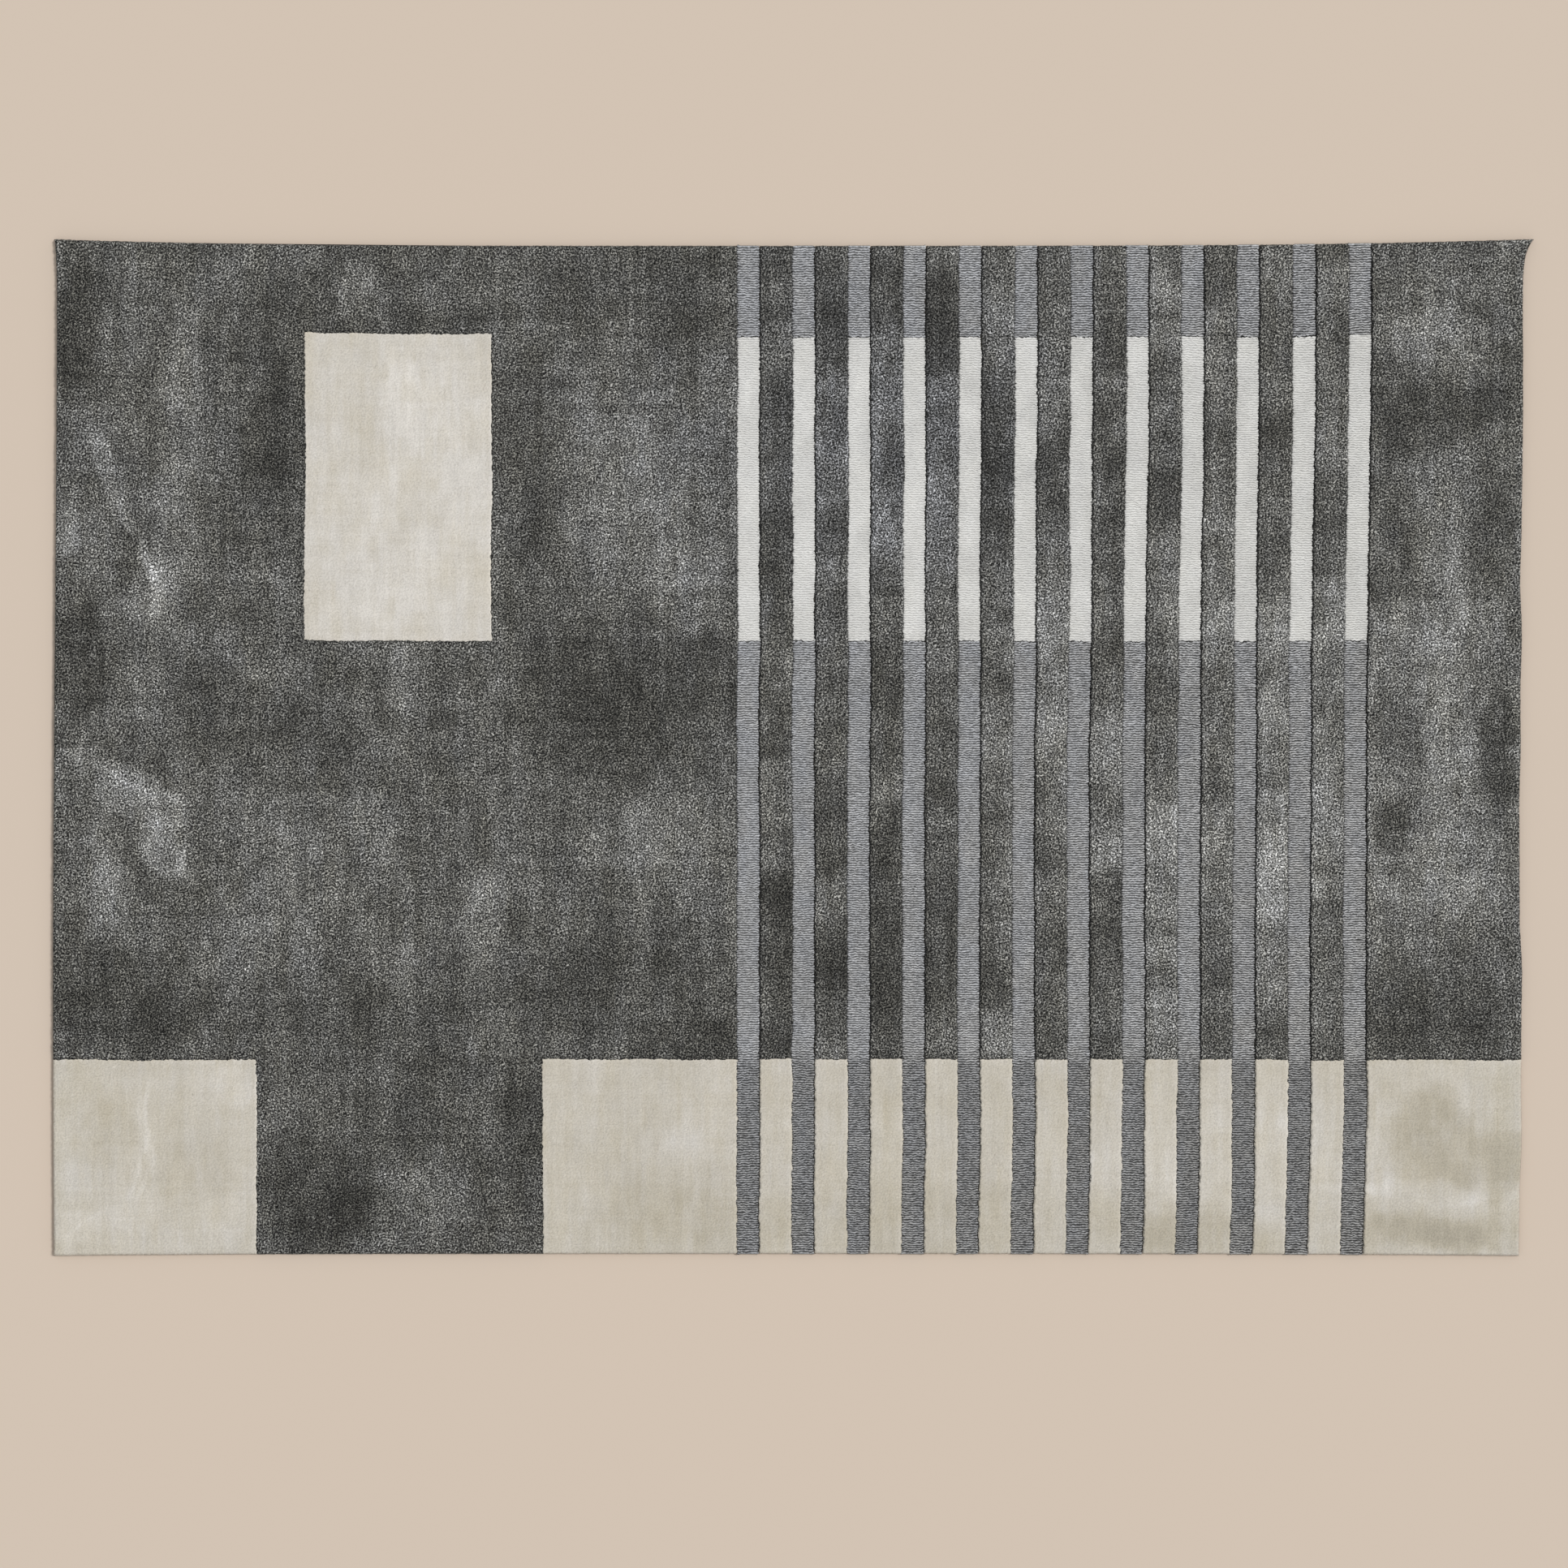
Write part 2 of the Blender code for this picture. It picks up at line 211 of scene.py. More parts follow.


# ---------- the lie of the pile, painted into the colour as sheen and shade
# Soft patches of painted sheen where the strength is positive and painted shade where it is negative,
# where the pile lies towards the light or away from it, each given by its middle, from the left and
# top edges, its half length and half width, its strength and any tilt in degrees.
CHARCOAL_PATCHES = (
    (0.255, 0.25, 0.05, 0.22, 0.48, 6),
    (0.215, 0.62, 0.065, 0.13, 0.5, 12),
    (0.19, 0.68, 0.05, 0.06, 0.22),
    (0.105, 0.46, 0.022, 0.09, 0.5, -14),
    (0.15, 0.57, 0.014, 0.09, 0.45, -20),
    (0.015, 0.56, 0.025, 0.05, 0.45),
    (0.3, 0.78, 0.16, 0.03, 0.18, 22),
    (0.16, 1.09, 0.11, 0.052, 0.58, 28),
    (0.228, 1.195, 0.085, 0.042, 0.52, 65),
    (0.075, 1.13, 0.034, 0.06, 0.26),
    (0.115, 1.29, 0.042, 0.1, 0.52, 12),
    (0.04, 1.01, 0.03, 0.025, 0.45),
    (0.42, 1.28, 0.15, 0.17, 0.28),
    (0.6, 1.16, 0.13, 0.08, 0.28),
    (0.68, 0.86, 0.035, 0.075, 0.34),
    (0.87, 1.27, 0.05, 0.17, 0.34, 24),
    (0.6, 0.1, 0.045, 0.075, 0.36),
    (1.15, 0.48, 0.15, 0.2, 0.39),
    (1.25, 0.68, 0.09, 0.1, 0.38),
    (1.2, 1.19, 0.15, 0.11, 0.26),
    (0.77, 1.87, 0.07, 0.08, 0.4, 30),
    (0.05, 0.2, 0.05, 0.17, -0.5),
    (0.425, 0.37, 0.055, 0.22, -0.5),
    (0.93, 0.47, 0.055, 0.3, -0.4),
    (0.05, 0.82, 0.06, 0.12, -0.58),
    (0.4, 0.95, 0.2, 0.08, -0.22),
    (0.12, 1.5, 0.17, 0.1, -0.48),
    (0.62, 1.52, 0.2, 0.07, -0.28),
    (1.11, 0.95, 0.1, 0.11, -0.3),
    (1.13, 1.46, 0.23, 0.13, -0.28),
    (1.3, 1.57, 0.08, 0.06, -0.4),
    (0.52, 1.88, 0.12, 0.12, -0.5),
    (0.93, 1.76, 0.05, 0.14, -0.4),
    (0.7, 0.13, 0.4, 0.02, -0.2),
    (2.42, 1.08, 0.28, 0.4, 0.28),
    (2.28, 1.08, 0.5, 0.6, 0.31),
    (2.76, 0.86, 0.19, 0.85, 0.12),
    (1.44, 1.36, 0.04, 0.26, -0.31),
    (1.44, 0.45, 0.04, 0.6, -0.06),
    (0.68, 1.8, 0.28, 0.19, -0.12),
    (0.36, 1.39, 0.12, 0.09, 0.1),
    (2.3, 0.55, 0.18, 0.2, 0.12),
    (1.96, 0.9, 0.14, 0.16, 0.25),
    (1.5, 0.4, 0.02, 0.22, 0.42),
    (1.61, 0.47, 0.025, 0.16, 0.5),
    (1.72, 1.22, 0.21, 0.3, -0.42),
    (1.83, 0.42, 0.06, 0.26, -0.34),
    (1.6, 0.12, 0.5, 0.1, -0.16),
    (2.745, 0.66, 0.05, 0.26, 0.48),
    (2.77, 1.06, 0.07, 0.18, 0.48),
    (2.74, 0.19, 0.11, 0.05, 0.3),
    (2.74, 0.34, 0.13, 0.075, -0.5),
    (2.64, 0.62, 0.03, 0.12, -0.45),
    (2.66, 1.00, 0.045, 0.14, -0.5),
    (2.86, 0.98, 0.035, 0.12, -0.6),
    (2.84, 0.55, 0.04, 0.07, -0.4),
    (2.65, 1.15, 0.035, 0.05, -0.45),
    (2.74, 1.28, 0.14, 0.05, 0.45),
    (2.7, 1.5, 0.16, 0.09, -0.45),
)
CREAM_PATCHES = (
    (0.7, 0.5, 0.3, 0.4, 0.17),
    (0.69, 0.31, 0.028, 0.13, 0.1),
    (0.8, 0.33, 0.03, 0.14, 0.04),
    (0.61, 0.36, 0.04, 0.14, -0.06),
    (0.67, 0.72, 0.06, 0.05, 0.05),
    (0.36, 1.65, 0.05, 0.04, 0.11),
    (0.185, 1.78, 0.008, 0.14, 0.12, 6),
    (0.05, 1.93, 0.05, 0.04, 0.12, -35),
    (0.17, 1.91, 0.06, 0.05, 0.07),
    (0.33, 1.93, 0.06, 0.05, 0.06),
    (0.28, 1.82, 0.08, 0.08, -0.08),
    (0.1, 1.76, 0.06, 0.08, -0.08),
    (1.25, 1.79, 0.05, 0.12, 0.06, 30),
    (1.19, 1.9, 0.14, 0.1, -0.13, 20),
    (1.75, 1.93, 0.55, 0.07, -0.14),
    (1.85, 1.66, 0.5, 0.05, -0.05),
    (2.33, 1.8, 0.25, 0.14, 0.1),
    (2.28, 1.95, 0.14, 0.05, -0.16),
    (2.73, 1.77, 0.085, 0.11, -0.28, -20),
    (2.86, 1.83, 0.05, 0.07, -0.24),
    (2.74, 1.945, 0.16, 0.04, -0.34),
    (2.64, 1.8, 0.03, 0.12, 0.1),
    (2.7, 1.868, 0.22, 0.014, 0.12, 2),
)
# Painted sheen along creases left by folding, as strings of points from the left and top edges, and their
# strength
CREASES = {
    "charcoal": (
        ((0.1, 0.4), (0.13, 0.47), (0.19, 0.66), 0.22),
        ((0.22, 0.6), (0.19, 0.66), (0.2, 0.73), 0.22),
        ((0.36, 0.63), (0.44, 0.66), (0.49, 0.69), 0.35),
        ((0.03, 1.00), (0.13, 1.06), (0.26, 1.1), 0.28),
        ((0.2, 1.05), (0.27, 1.14), (0.26, 1.24), 0.28),
        ((0.46, 0.82), (0.5, 0.9), (0.53, 0.93), 0.25),
        ((0.42, 1.4), (0.5, 1.47), (0.51, 1.55), 0.3),
        ((0.55, 0.07), (0.57, 0.11), (0.56, 0.15), 0.45),
        ((0.62, 0.07), (0.65, 0.11), (0.64, 0.14), 0.45),
        ((2.63, 0.08), (2.72, 0.11), (2.69, 0.18), 0.3),
        ((2.6, 1.02), (2.72, 1.06), (2.86, 1.03), 0.25),
    ),
    "cream": (
        ((2.62, 1.875), (2.74, 1.89), (2.89, 1.875), 0.07),
        ((2.7, 1.66), (2.8, 1.7), (2.88, 1.69), 0.05),
        ((0.03, 1.95), (0.08, 1.91), (0.1, 1.9), 0.12),
        ((0.17, 1.71), (0.18, 1.78), (0.15, 1.88), 0.1),
    ),
}
CREASE_WIDTH = 0.005
PATCH_FRAY, FRAY_SIZE = 0.034, 0.10  # how far a patch's outline wanders, and over what length
CREASE_FRAY = 0.35  # the creases' wander beside the patches'
CRISP_BELOW = 0.13  # patches smaller than this have crisper outlines
CRISP, SOFT = 4, 2  # powers that set how crisp an outline is
FAR = 1.0  # beyond the reach of a crease
# Bands of rows brushed a little differently, painted as shade where the strength is negative and as
# sheen where it is positive: left, right, top, bottom and strength
CHARCOAL_BANDS = (
    (0.92, 1.36, 0.776, 1.060, -0.26),
    (0.97, 1.36, 0.000, 0.190, -0.10),
    (2.59, 2.92, 1.240, 1.310, 0.08),
)
BAND_FADES = (0.04, 0.02, 0.004, 0.05)  # how softly a band ends at its left, right, top and bottom
PATCH_SHARE = {"charcoal": 1.05, "cream": 0.75}  # how strongly the patches count
# How unevenly the patches are filled: strength, sizes and seed
MOTTLE = {"charcoal": (0.55, 0.024, 0.040, 40), "cream": (0.5, 0.020, 0.040, 50)}
# The rest of the lie, as noise: strength, sizes, seed and number of sizes
LIE_NOISE = {
    "charcoal": (
        (0.16, 0.15, 0.20, 41, 3),
        (0.44, 0.050, 0.070, 42, 4),
        (0.30, 0.014, 0.024, 49, 2),
        (0.20, 0.012, 0.35, 46, 2),
        (0.17, 0.35, 0.012, 48, 2),
    ),
    "cream": (
        (0.055, 0.10, 0.12, 51, 4),
        (0.06, 0.020, 0.035, 52, 3),
        (0.05, 0.006, 0.12, 53, 2),
        (0.03, 0.12, 0.006, 54, 2),
    ),
}
HATCHING = ((0.13, 0.0050, 0.160, 43), (0.11, 0.160, 0.0050, 44))  # rows and columns that show in places
HATCHED_PLACES = 0.20
STRIP_NOISE = ((0.36, 0.14, 45), (0.30, 0.045, 55))  # of each charcoal strip by itself
COOL_PLACE, COOL_REACH, COOL_STRENGTH = (1.65, 0.38), (0.35, 0.30), 0.65


def patch_sum(from_left, from_top, patches, creases):
    """The strengths of the patches and creases, added up, with frayed outlines."""
    warp_x = PATCH_FRAY * cloud(from_left, from_top, FRAY_SIZE, FRAY_SIZE, 31, 4)
    warp_y = PATCH_FRAY * cloud(from_left, from_top, FRAY_SIZE, FRAY_SIZE, 32, 4)
    total = np.zeros(np.shape(from_left))
    for mid_x, mid_y, half_x, half_y, strength, *tilt in patches:
        dx, dy = from_left + warp_x - mid_x, from_top + warp_y - mid_y
        angle = math.radians(sum(tilt))
        c, s = math.cos(angle), math.sin(angle)
        u, v = (dx * c + dy * s) / half_x, (dy * c - dx * s) / half_y
        crispness = CRISP if max(half_x, half_y) < CRISP_BELOW else SOFT
        total += strength * np.exp(-((u * u + v * v) ** crispness))
    px, py = from_left + CREASE_FRAY * warp_x, from_top + CREASE_FRAY * warp_y
    for *points, strength in creases:
        nearest = np.full(np.shape(px), FAR)
        for (ax, ay), (bx, by) in zip(points, points[1:]):
            run_x, run_y = bx - ax, by - ay
            part = np.clip(((px - ax) * run_x + (py - ay) * run_y) / (run_x**2 + run_y**2), 0.0, 1.0)
            nearest = np.minimum(nearest, np.hypot(px - ax - part * run_x, py - ay - part * run_y))
        total += strength * np.exp(-nearest / CREASE_WIDTH)
    return total


def pile_sheen_and_shade(colour, x, y):
    """Logarithm of the cut pile's brightness beside its mean: the painted sheen and shade of its lie."""
    from_left, from_top = x - LEFT, TOP - y
    patches = CHARCOAL_PATCHES if colour == "charcoal" else CREAM_PATCHES
    total = PATCH_SHARE[colour] * patch_sum(from_left, from_top, patches, CREASES[colour])
    uneven, *mottle = MOTTLE[colour]
    total *= 1.0 + uneven * cloud(x, y, *mottle)
    for strength, *pattern in LIE_NOISE[colour]:
        total += strength * cloud(x, y, *pattern)
    return total + charcoal_rows(x, y) if colour == "charcoal" else total


def charcoal_rows(x, y):
    """What the rows and strips of the charcoal pile add to its lie."""
    from_left, from_top = x - LEFT, TOP - y
    fade_left, fade_right, fade_top, fade_bottom = BAND_FADES
    total = np.zeros(np.shape(x))
    for left, right, top, bottom, strength in CHARCOAL_BANDS:
        across = smooth_step(left - fade_left, left + fade_left, from_left)
        across -= smooth_step(right - fade_right, right + fade_right, from_left)
        down = smooth_step(top - fade_top, top + fade_top, from_top)
        down -= smooth_step(bottom - fade_bottom, bottom + fade_bottom, from_top)
        total += strength * across * down
    hatched = 1.0 + cloud(x, y, HATCHED_PLACES, HATCHED_PLACES, 47, 2)
    for strength, *pattern in HATCHING:
        total += hatched * strength * cloud(x, y, *pattern, 2)
    strip = np.floor((from_left - FIRST_STRIPE) / STRIPE_PITCH)
    between = (from_left > FIRST_STRIPE) & (from_left < LAST_STRIPE_END)
    for strength, size, seed in STRIP_NOISE:
        total += between * strength * noise(strip, y, 1.0, size, seed)
    return total


def cool_region(x, y):
    """How much cooler the charcoal pile looks around the upper middle."""
    across, down = (x - LEFT - COOL_PLACE[0]) / COOL_REACH[0], (TOP - y - COOL_PLACE[1]) / COOL_REACH[1]
    return COOL_STRENGTH * np.exp(-(across**2) - down**2)


# ---------- meshes
ROOT_SHARE = 0.5  # a root's values beside those of its tip


def mesh_from_arrays(name, points, faces, values):
    """A mesh from points, arrays of faces of equal side counts, and values on its vertices."""
    mesh = bpy.data.meshes.new(name)
    mesh.vertices.add(len(points))
    mesh.vertices.foreach_set("co", points.astype(np.float32).ravel())
    corners = np.concatenate([f.ravel() for f in faces])
    sizes = np.concatenate([np.full(len(f), f.shape[1]) for f in faces])
    starts = np.concatenate([[0], np.cumsum(sizes)[:-1]])
    mesh.loops.add(len(corners))
    mesh.loops.foreach_set("vertex_index", corners.astype(np.int32))
    mesh.polygons.add(len(sizes))
    mesh.polygons.foreach_set("loop_start", starts.astype(np.int32))
    mesh.update(calc_edges=True)
    for key, value in values.items():
        layer = mesh.attributes.new(key, "FLOAT", "POINT")
        layer.data.foreach_set("value", value.astype(np.float32))
    mesh.polygons.foreach_set("use_smooth", np.ones(len(sizes), bool))
    return mesh


def closed_relief(name, tops, roots, kept, values):
    """A closed mesh: a relief over the kept cells of a grid, side walls, and an underside.

    tops and roots are arrays of points by row and column, and values are arrays on the tops.
    """
    rows, columns = tops.shape[:2]
    padded = np.zeros((rows + 1, columns + 1), bool)
    padded[1:-1, 1:-1] = kept
    around = [padded[:-1, :-1], padded[:-1, 1:], padded[1:, :-1], padded[1:, 1:]]
    used = np.logical_or.reduce(around)
    rim = used & ~np.logical_and.reduce(around)
    top_id = np.full((rows, columns), -1)
    top_id[used] = np.arange(used.sum())
    low_id = np.full((rows, columns), -1)
    low_id[rim] = used.sum() + np.arange(rim.sum())

    j, i = np.nonzero(kept)
    faces = [np.stack([top_id[j, i], top_id[j, i + 1], top_id[j + 1, i + 1], top_id[j + 1, i]], axis=1)]
    sides = (
        (padded[:-2, 1:-1], (0, 0), (0, 1)),
        (padded[1:-1, 2:], (0, 1), (1, 1)),
        (padded[2:, 1:-1], (1, 1), (1, 0)),
        (padded[1:-1, :-2], (1, 0), (0, 0)),
    )
    for neighbour, (j0, i0), (j1, i1) in sides:
        j, i = np.nonzero(kept & ~neighbour)
        start, end = (j + j0, i + i0), (j + j1, i + i1)
        faces.append(np.stack([low_id[start], low_id[end], top_id[end], top_id[start]], axis=1))
    for row in range(rows - 1):
        change = np.diff(np.concatenate([[0], kept[row].astype(int), [0]]))
        for first, last in zip(np.nonzero(change == 1)[0], np.nonzero(change == -1)[0]):
            far, near = low_id[row + 1, first : last + 1], low_id[row, first : last + 1]
            faces.append(np.concatenate([far[far >= 0], near[near >= 0][::-1]])[None, :])

    points = np.concatenate([tops[used], roots[rim]])
    on_vertices = {k: np.concatenate([value[used], value[rim] * ROOT_SHARE]) for k, value in values.items()}
    return mesh_from_arrays(name, points, faces, on_vertices)


def grid_lines(breaks, step):
    """Grid lines through every break, about a step apart between them."""
    lines = [np.array([breaks[0]])]
    for low, high in zip(breaks, breaks[1:]):
        lines.append(np.linspace(low, high, max(1, round((high - low) / step)) + 1)[1:])
    return np.concatenate(lines)


def add_piece(name, mesh, material, nodes):
    """A visible piece that stands for CAD nodes."""
    piece = bpy.data.objects.new(name, mesh)
    mesh.materials.append(material)
    scene.collection.objects.link(piece)
    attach(piece, "root")
    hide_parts(*nodes)
    return piece


# ---------- cut pile
Y_BREAKS = [BOTTOM, TOP - CREAM_START, TOP - WINDOW_BOTTOM, TOP - WINDOW_TOP, TOP]
BASE_TONE = {"charcoal": 0.25, "cream": 0.5}  # from 0, warm, to 1, cool
LIGHT_TONE = {"charcoal": 0.30, "cream": 2.5}  # how much cooler the pile looks where its painted sheen makes it brighter
TONE_NOISE = ((0.25, 0.05, 0.07, 62, 3), (0.15, 0.012, 0.06, 63, 2))
SPECK_SHARE = 0.0006  # of the tufts are stray bright ones
SPECK_GAIN = {"charcoal": 1.1, "cream": 0.12}
MIDDLE_TIP = 0.5  # the tip value of a tuft of mean height
TIP_CONTRAST = {"charcoal": 0.30, "cream": 0.36}  # between the painted shade in the gaps and the painted highlights on the tips
BRIGHT_LOSS = 0.3  # how much of the contrast goes where the pile looks brighter
CONTRAST_RANGE = (0.45, 0.95)
RAW_SPREAD = 0.27  # of a random height beside its neighbours' mean, to bring tufts to about 1
STEADY_BORDER = 0.6  # of a grid step: nearer to a border than this, tufts are not jittered
SURFACE_SINK = 0.0004  # of the mean pile surface below the CAD body's top
UNEVEN_HEIGHT, UNEVEN_SIZES = 0.0004, (0.05, 0.06)  # of the pile surface
LOWEST_PILE = 0.001  # above the roots
STRIPE_SIDE = 0.30  # the pile's height right beside the loops, as a share
BORDER_SHADE, BORDER_SHADE_DEPTH = 0.55, 0.003  # of charcoal beside cream
BORDER_LIGHT, BORDER_LIGHT_DEPTH = 0.16, 0.0022  # painted highlight on cream at its edges
GROOVE_SHADE, SIDE_SHADE, OUTLINE_SHADE = 0.55, 0.12, 0.25  # how much lower the tip value is there
RAGGED_DEPTH = 0.006  # how far from a border the tufts are fully ragged
OUTLINE_RAGGED, OUTLINE_RAGGED_DEPTH = 0.3, 0.012  # how ragged the outline is, and how far in that goes


def blurred(grid):
    """Each value's mean with its eight neighbours."""
    wide = np.pad(grid, 1, mode="edge")
    rows, columns = grid.shape
    return sum(wide[j : j + rows, i : i + columns] for j in range(3) for i in range(3)) / 9.0


def border_distance(x, y):
    """Distances to the outline, the nearest loop stripe and the nearest border between colours.

    The third value is 1 right of the nearest stripe's middle and -1 left of it.
    """
    from_left, from_top = x - LEFT, TOP - y
    outline = np.minimum.reduce([from_left, LENGTH - from_left, from_top, WIDTH - from_top])

    first_middle = FIRST_STRIPE + STRIPE_WIDTH / 2
    index = np.clip(np.round((from_left - first_middle) / STRIPE_PITCH), 0, STRIPE_COUNT - 1)
    middle = first_middle + STRIPE_PITCH * index
    to_stripe = np.abs(from_left - middle) - STRIPE_WIDTH / 2
    away = np.sign(from_left - middle)

    def box_distance(left, right, top, bottom):
        outside_x = np.maximum(left - from_left, from_left - right)
        outside_y = np.maximum(top - from_top, from_top - bottom)
        return np.where(
            (outside_x < 0) & (outside_y < 0),
            -np.maximum(outside_x, outside_y),
            np.hypot(np.maximum(outside_x, 0), np.maximum(outside_y, 0)),
        )

    beyond = 1.0  # past the rug, where a block has no border of its own
    border = np.minimum.reduce(
        [
            box_distance(WINDOW_LEFT, WINDOW_RIGHT, WINDOW_TOP, WINDOW_BOTTOM),
            box_distance(-beyond, CORNER_BLOCK, CREAM_START, WIDTH + beyond),
            box_distance(BAND_START, LENGTH + beyond, CREAM_START, WIDTH + beyond),
        ]
    )
    return outline, np.maximum(to_stripe, 0.0), away, border


def rounded(distance, radius):
    """0 at a border and 1 a radius inside it, along a quarter circle."""
    part = np.clip(1.0 - distance / radius, 0.0, 1.0)
    return np.sqrt(np.maximum(1.0 - part * part, 0.0))


def pile_piece(node, x_breaks, y_breaks, seed, keep=None):
    """One area of cut pile, with a tuft tip or a gap at every vertex."""
    colour = node.split("_")[0]
    xs, ys = grid_lines(x_breaks, TUFT_GRID), grid_lines(y_breaks, TUFT_GRID)
    for lines, low, high in ((xs, LEFT, RIGHT), (ys, BOTTOM, TOP)):
        lines[0] += GAP / 2 * (lines[0] > low + GAP)
        lines[-1] -= GAP / 2 * (lines[-1] < high - GAP)
    x, y = np.meshgrid(xs, ys)
    kept = np.ones((len(ys) - 1, len(xs) - 1), bool)
    if keep is not None:
        kept = keep((x[:-1, :-1] + x[1:, 1:]) / 2 - LEFT, TOP - (y[:-1, :-1] + y[1:, 1:]) / 2)

    rng = np.random.default_rng(seed)
    raw = rng.random(x.shape)
    tuft = (raw - blurred(raw)) / RAW_SPREAD
    outline, to_stripe, away, border = border_distance(x, y)
    inner = np.minimum.reduce([outline, to_stripe, border]) > TUFT_GRID * STEADY_BORDER
    x = x + inner * TUFT_JITTER * TUFT_GRID * (rng.random(x.shape) * 2 - 1)
    y = y + inner * TUFT_JITTER * TUFT_GRID * (rng.random(y.shape) * 2 - 1)

    height = CUT_TOP - SURFACE_SINK + TUFT_HEIGHT[colour] * tuft
    height += UNEVEN_HEIGHT * cloud(x, y, *UNEVEN_SIZES, 61)
    low_ground = PILE_ROOT + LOWEST_PILE
    beside_stripe = rounded(to_stripe, STRIPE_ROUND)
    height = low_ground + (height - low_ground) * (STRIPE_SIDE + (1.0 - STRIPE_SIDE) * beside_stripe)
    height -= BORDER_DROP * (1.0 - rounded(border, BORDER_ROUND))
    beside_outline = rounded(outline, OUTER_ROUND)
    height = RIM_Z + (height - RIM_Z) * beside_outline

    # The lie is painted into the colour as sheen and shade, through the gain value below.
    lie = pile_sheen_and_shade(colour, x, y)
    tone = BASE_TONE[colour] + LIGHT_TONE[colour] * lie
    for strength, *pattern in TONE_NOISE:
        tone += strength * cloud(x, y, *pattern)
    to_edge = np.minimum(border, to_stripe)
    # Below: painted shade on charcoal beside the cream, and a painted highlight along the cream's edges.
    if colour == "charcoal":
        tone += cool_region(x, y)
        lie -= BORDER_SHADE * np.exp(-border / BORDER_SHADE_DEPTH)
    else:
        lie += BORDER_LIGHT * np.exp(-to_edge / BORDER_LIGHT_DEPTH)
    lie += SPECK_GAIN[colour] * (rng.random(x.shape) < SPECK_SHARE)
    grooved = away > 0
    edge_shade = np.where(grooved, GROOVE_SHADE, SIDE_SHADE) * (1.0 - beside_stripe)
    edge_shade += OUTLINE_SHADE * (1.0 - beside_outline)
    contrast = TIP_CONTRAST[colour] * np.clip(1.0 - BRIGHT_LOSS * lie, *CONTRAST_RANGE)

    lean = np.where(grooved, STRIPE_GROOVE, STRIPE_OVERHANG)
    lean = lean * np.clip(1.0 - to_stripe / STRIPE_ROUND, 0.0, 1.0)
    x, y = wandered(x, y)
    inside = INNER_RAGGED[colour]
    ragged = inside + (1.0 - inside) * np.exp(-to_edge / RAGGED_DEPTH)
    in_from_outline = smooth_step(0.0, OUTLINE_RAGGED_DEPTH, outline)
    ragged = ragged * (OUTLINE_RAGGED + (1.0 - OUTLINE_RAGGED) * in_from_outline)
    tops = placed(x + lean, y, height, ragged)
    root_x = np.clip(x, LEFT + RIM_TUCK, RIGHT - RIM_TUCK)
    root_y = np.clip(y, BOTTOM + RIM_TUCK, TOP - RIM_TUCK)
    roots = placed(root_x, root_y, PILE_ROOT)
    # tip paints shade into the gaps and highlights onto the tips; gain carries the painted sheen and shade
    values = {
        "tip": np.clip(MIDDLE_TIP + contrast * tuft - edge_shade, 0.0, 1.0),
        "gain": np.exp(lie),
        "tone": np.clip(tone, 0.0, 1.0),
    }
    mesh = closed_relief(f"{node}_tufts", tops, roots, kept, values)
    return add_piece(mesh.name, mesh, MATERIALS[colour], [node])


def field_keep(from_left, from_top):
    """The cells of the charcoal field: all but the window, the corner block and the band."""
    across = (from_left > WINDOW_LEFT) & (from_left < WINDOW_RIGHT)
    window = across & (from_top > WINDOW_TOP) & (from_top < WINDOW_BOTTOM)
    cream = (from_top > CREAM_START) & ((from_left < CORNER_BLOCK) | (from_left > BAND_START))
    return ~window & ~cream


def build_cut_pile():
    """Every area of cut pile."""
    field_x = [LEFT + d for d in (0.0, CORNER_BLOCK, WINDOW_LEFT, WINDOW_RIGHT, BAND_START, FIRST_STRIPE)]
    last_x = [LEFT + LAST_STRIPE_END, RIGHT]
    upper, lower, window = Y_BREAKS[1:], Y_BREAKS[:2], Y_BREAKS[2:4]
    pieces = [
        pile_piece("charcoal_pile_field", field_x, Y_BREAKS, 1, field_keep),
        pile_piece("charcoal_pile_right_field", last_x, upper, 2),
        pile_piece("cream_pile_window", field_x[2:4], window, 3),
        pile_piece("cream_pile_corner_block", field_x[:2], lower, 4),
        pile_piece("cream_pile_band_left", field_x[4:], lower, 5),
        pile_piece("cream_pile_band_right", last_x, lower, 6),
    ]
    for number in range(1, STRIPE_COUNT):
        left = LEFT + FIRST_STRIPE + STRIPE_PITCH * (number - 1)
        sides = [left + STRIPE_WIDTH, left + STRIPE_PITCH]
        for colour, part, seed in (("charcoal", upper, 20), ("cream", lower, 40)):
            pieces.append(pile_piece(f"{colour}_pile_strip_{number:02d}", sides, part, seed + number))
    return pieces


# ---------- loop pile
ROW_FULLNESS = 0.8  # below 1 the loops are fuller than a plain arch
LEAST_COLUMNS, LEAST_ROWS, BED_STEP = 4, 2, 0.04  # of the grid, and its step on the dead yarns
LOOP_SIDE_ROUND, LOOP_SIDE_DROP, LOOP_SIDE_SHADE = 0.0015, 0.0008, 0.05
CREST_SINK, LOBE_HEIGHT, LOBE_SIZE, LOBE_SHIFT = 0.0004, 0.0005, 0.0026, 0.0031
BED_SINK, BED_RIDGE, BED_TURNS = 0.0002, 0.0003, 1400.0  # of the dead yarns under the ivory loops
ROW_WANDER_SIZE, ROW_CHANGE = 0.0046, 0.6  # of a row's wander, and how much the next one differs
FINE_WANDER, FINE_WANDER_SIZE = 0.6, 0.0030  # share and size of the wander that each row has by itself
STEADY_ENDS = 0.3  # of a row, at a stripe's ends, where loops do not wander
LOOP_SHADES, LOOP_SHADE_SIZE, LOOP_SHADE_SHIFT = 0.45, 0.0024, 0.0017  # from loop to loop
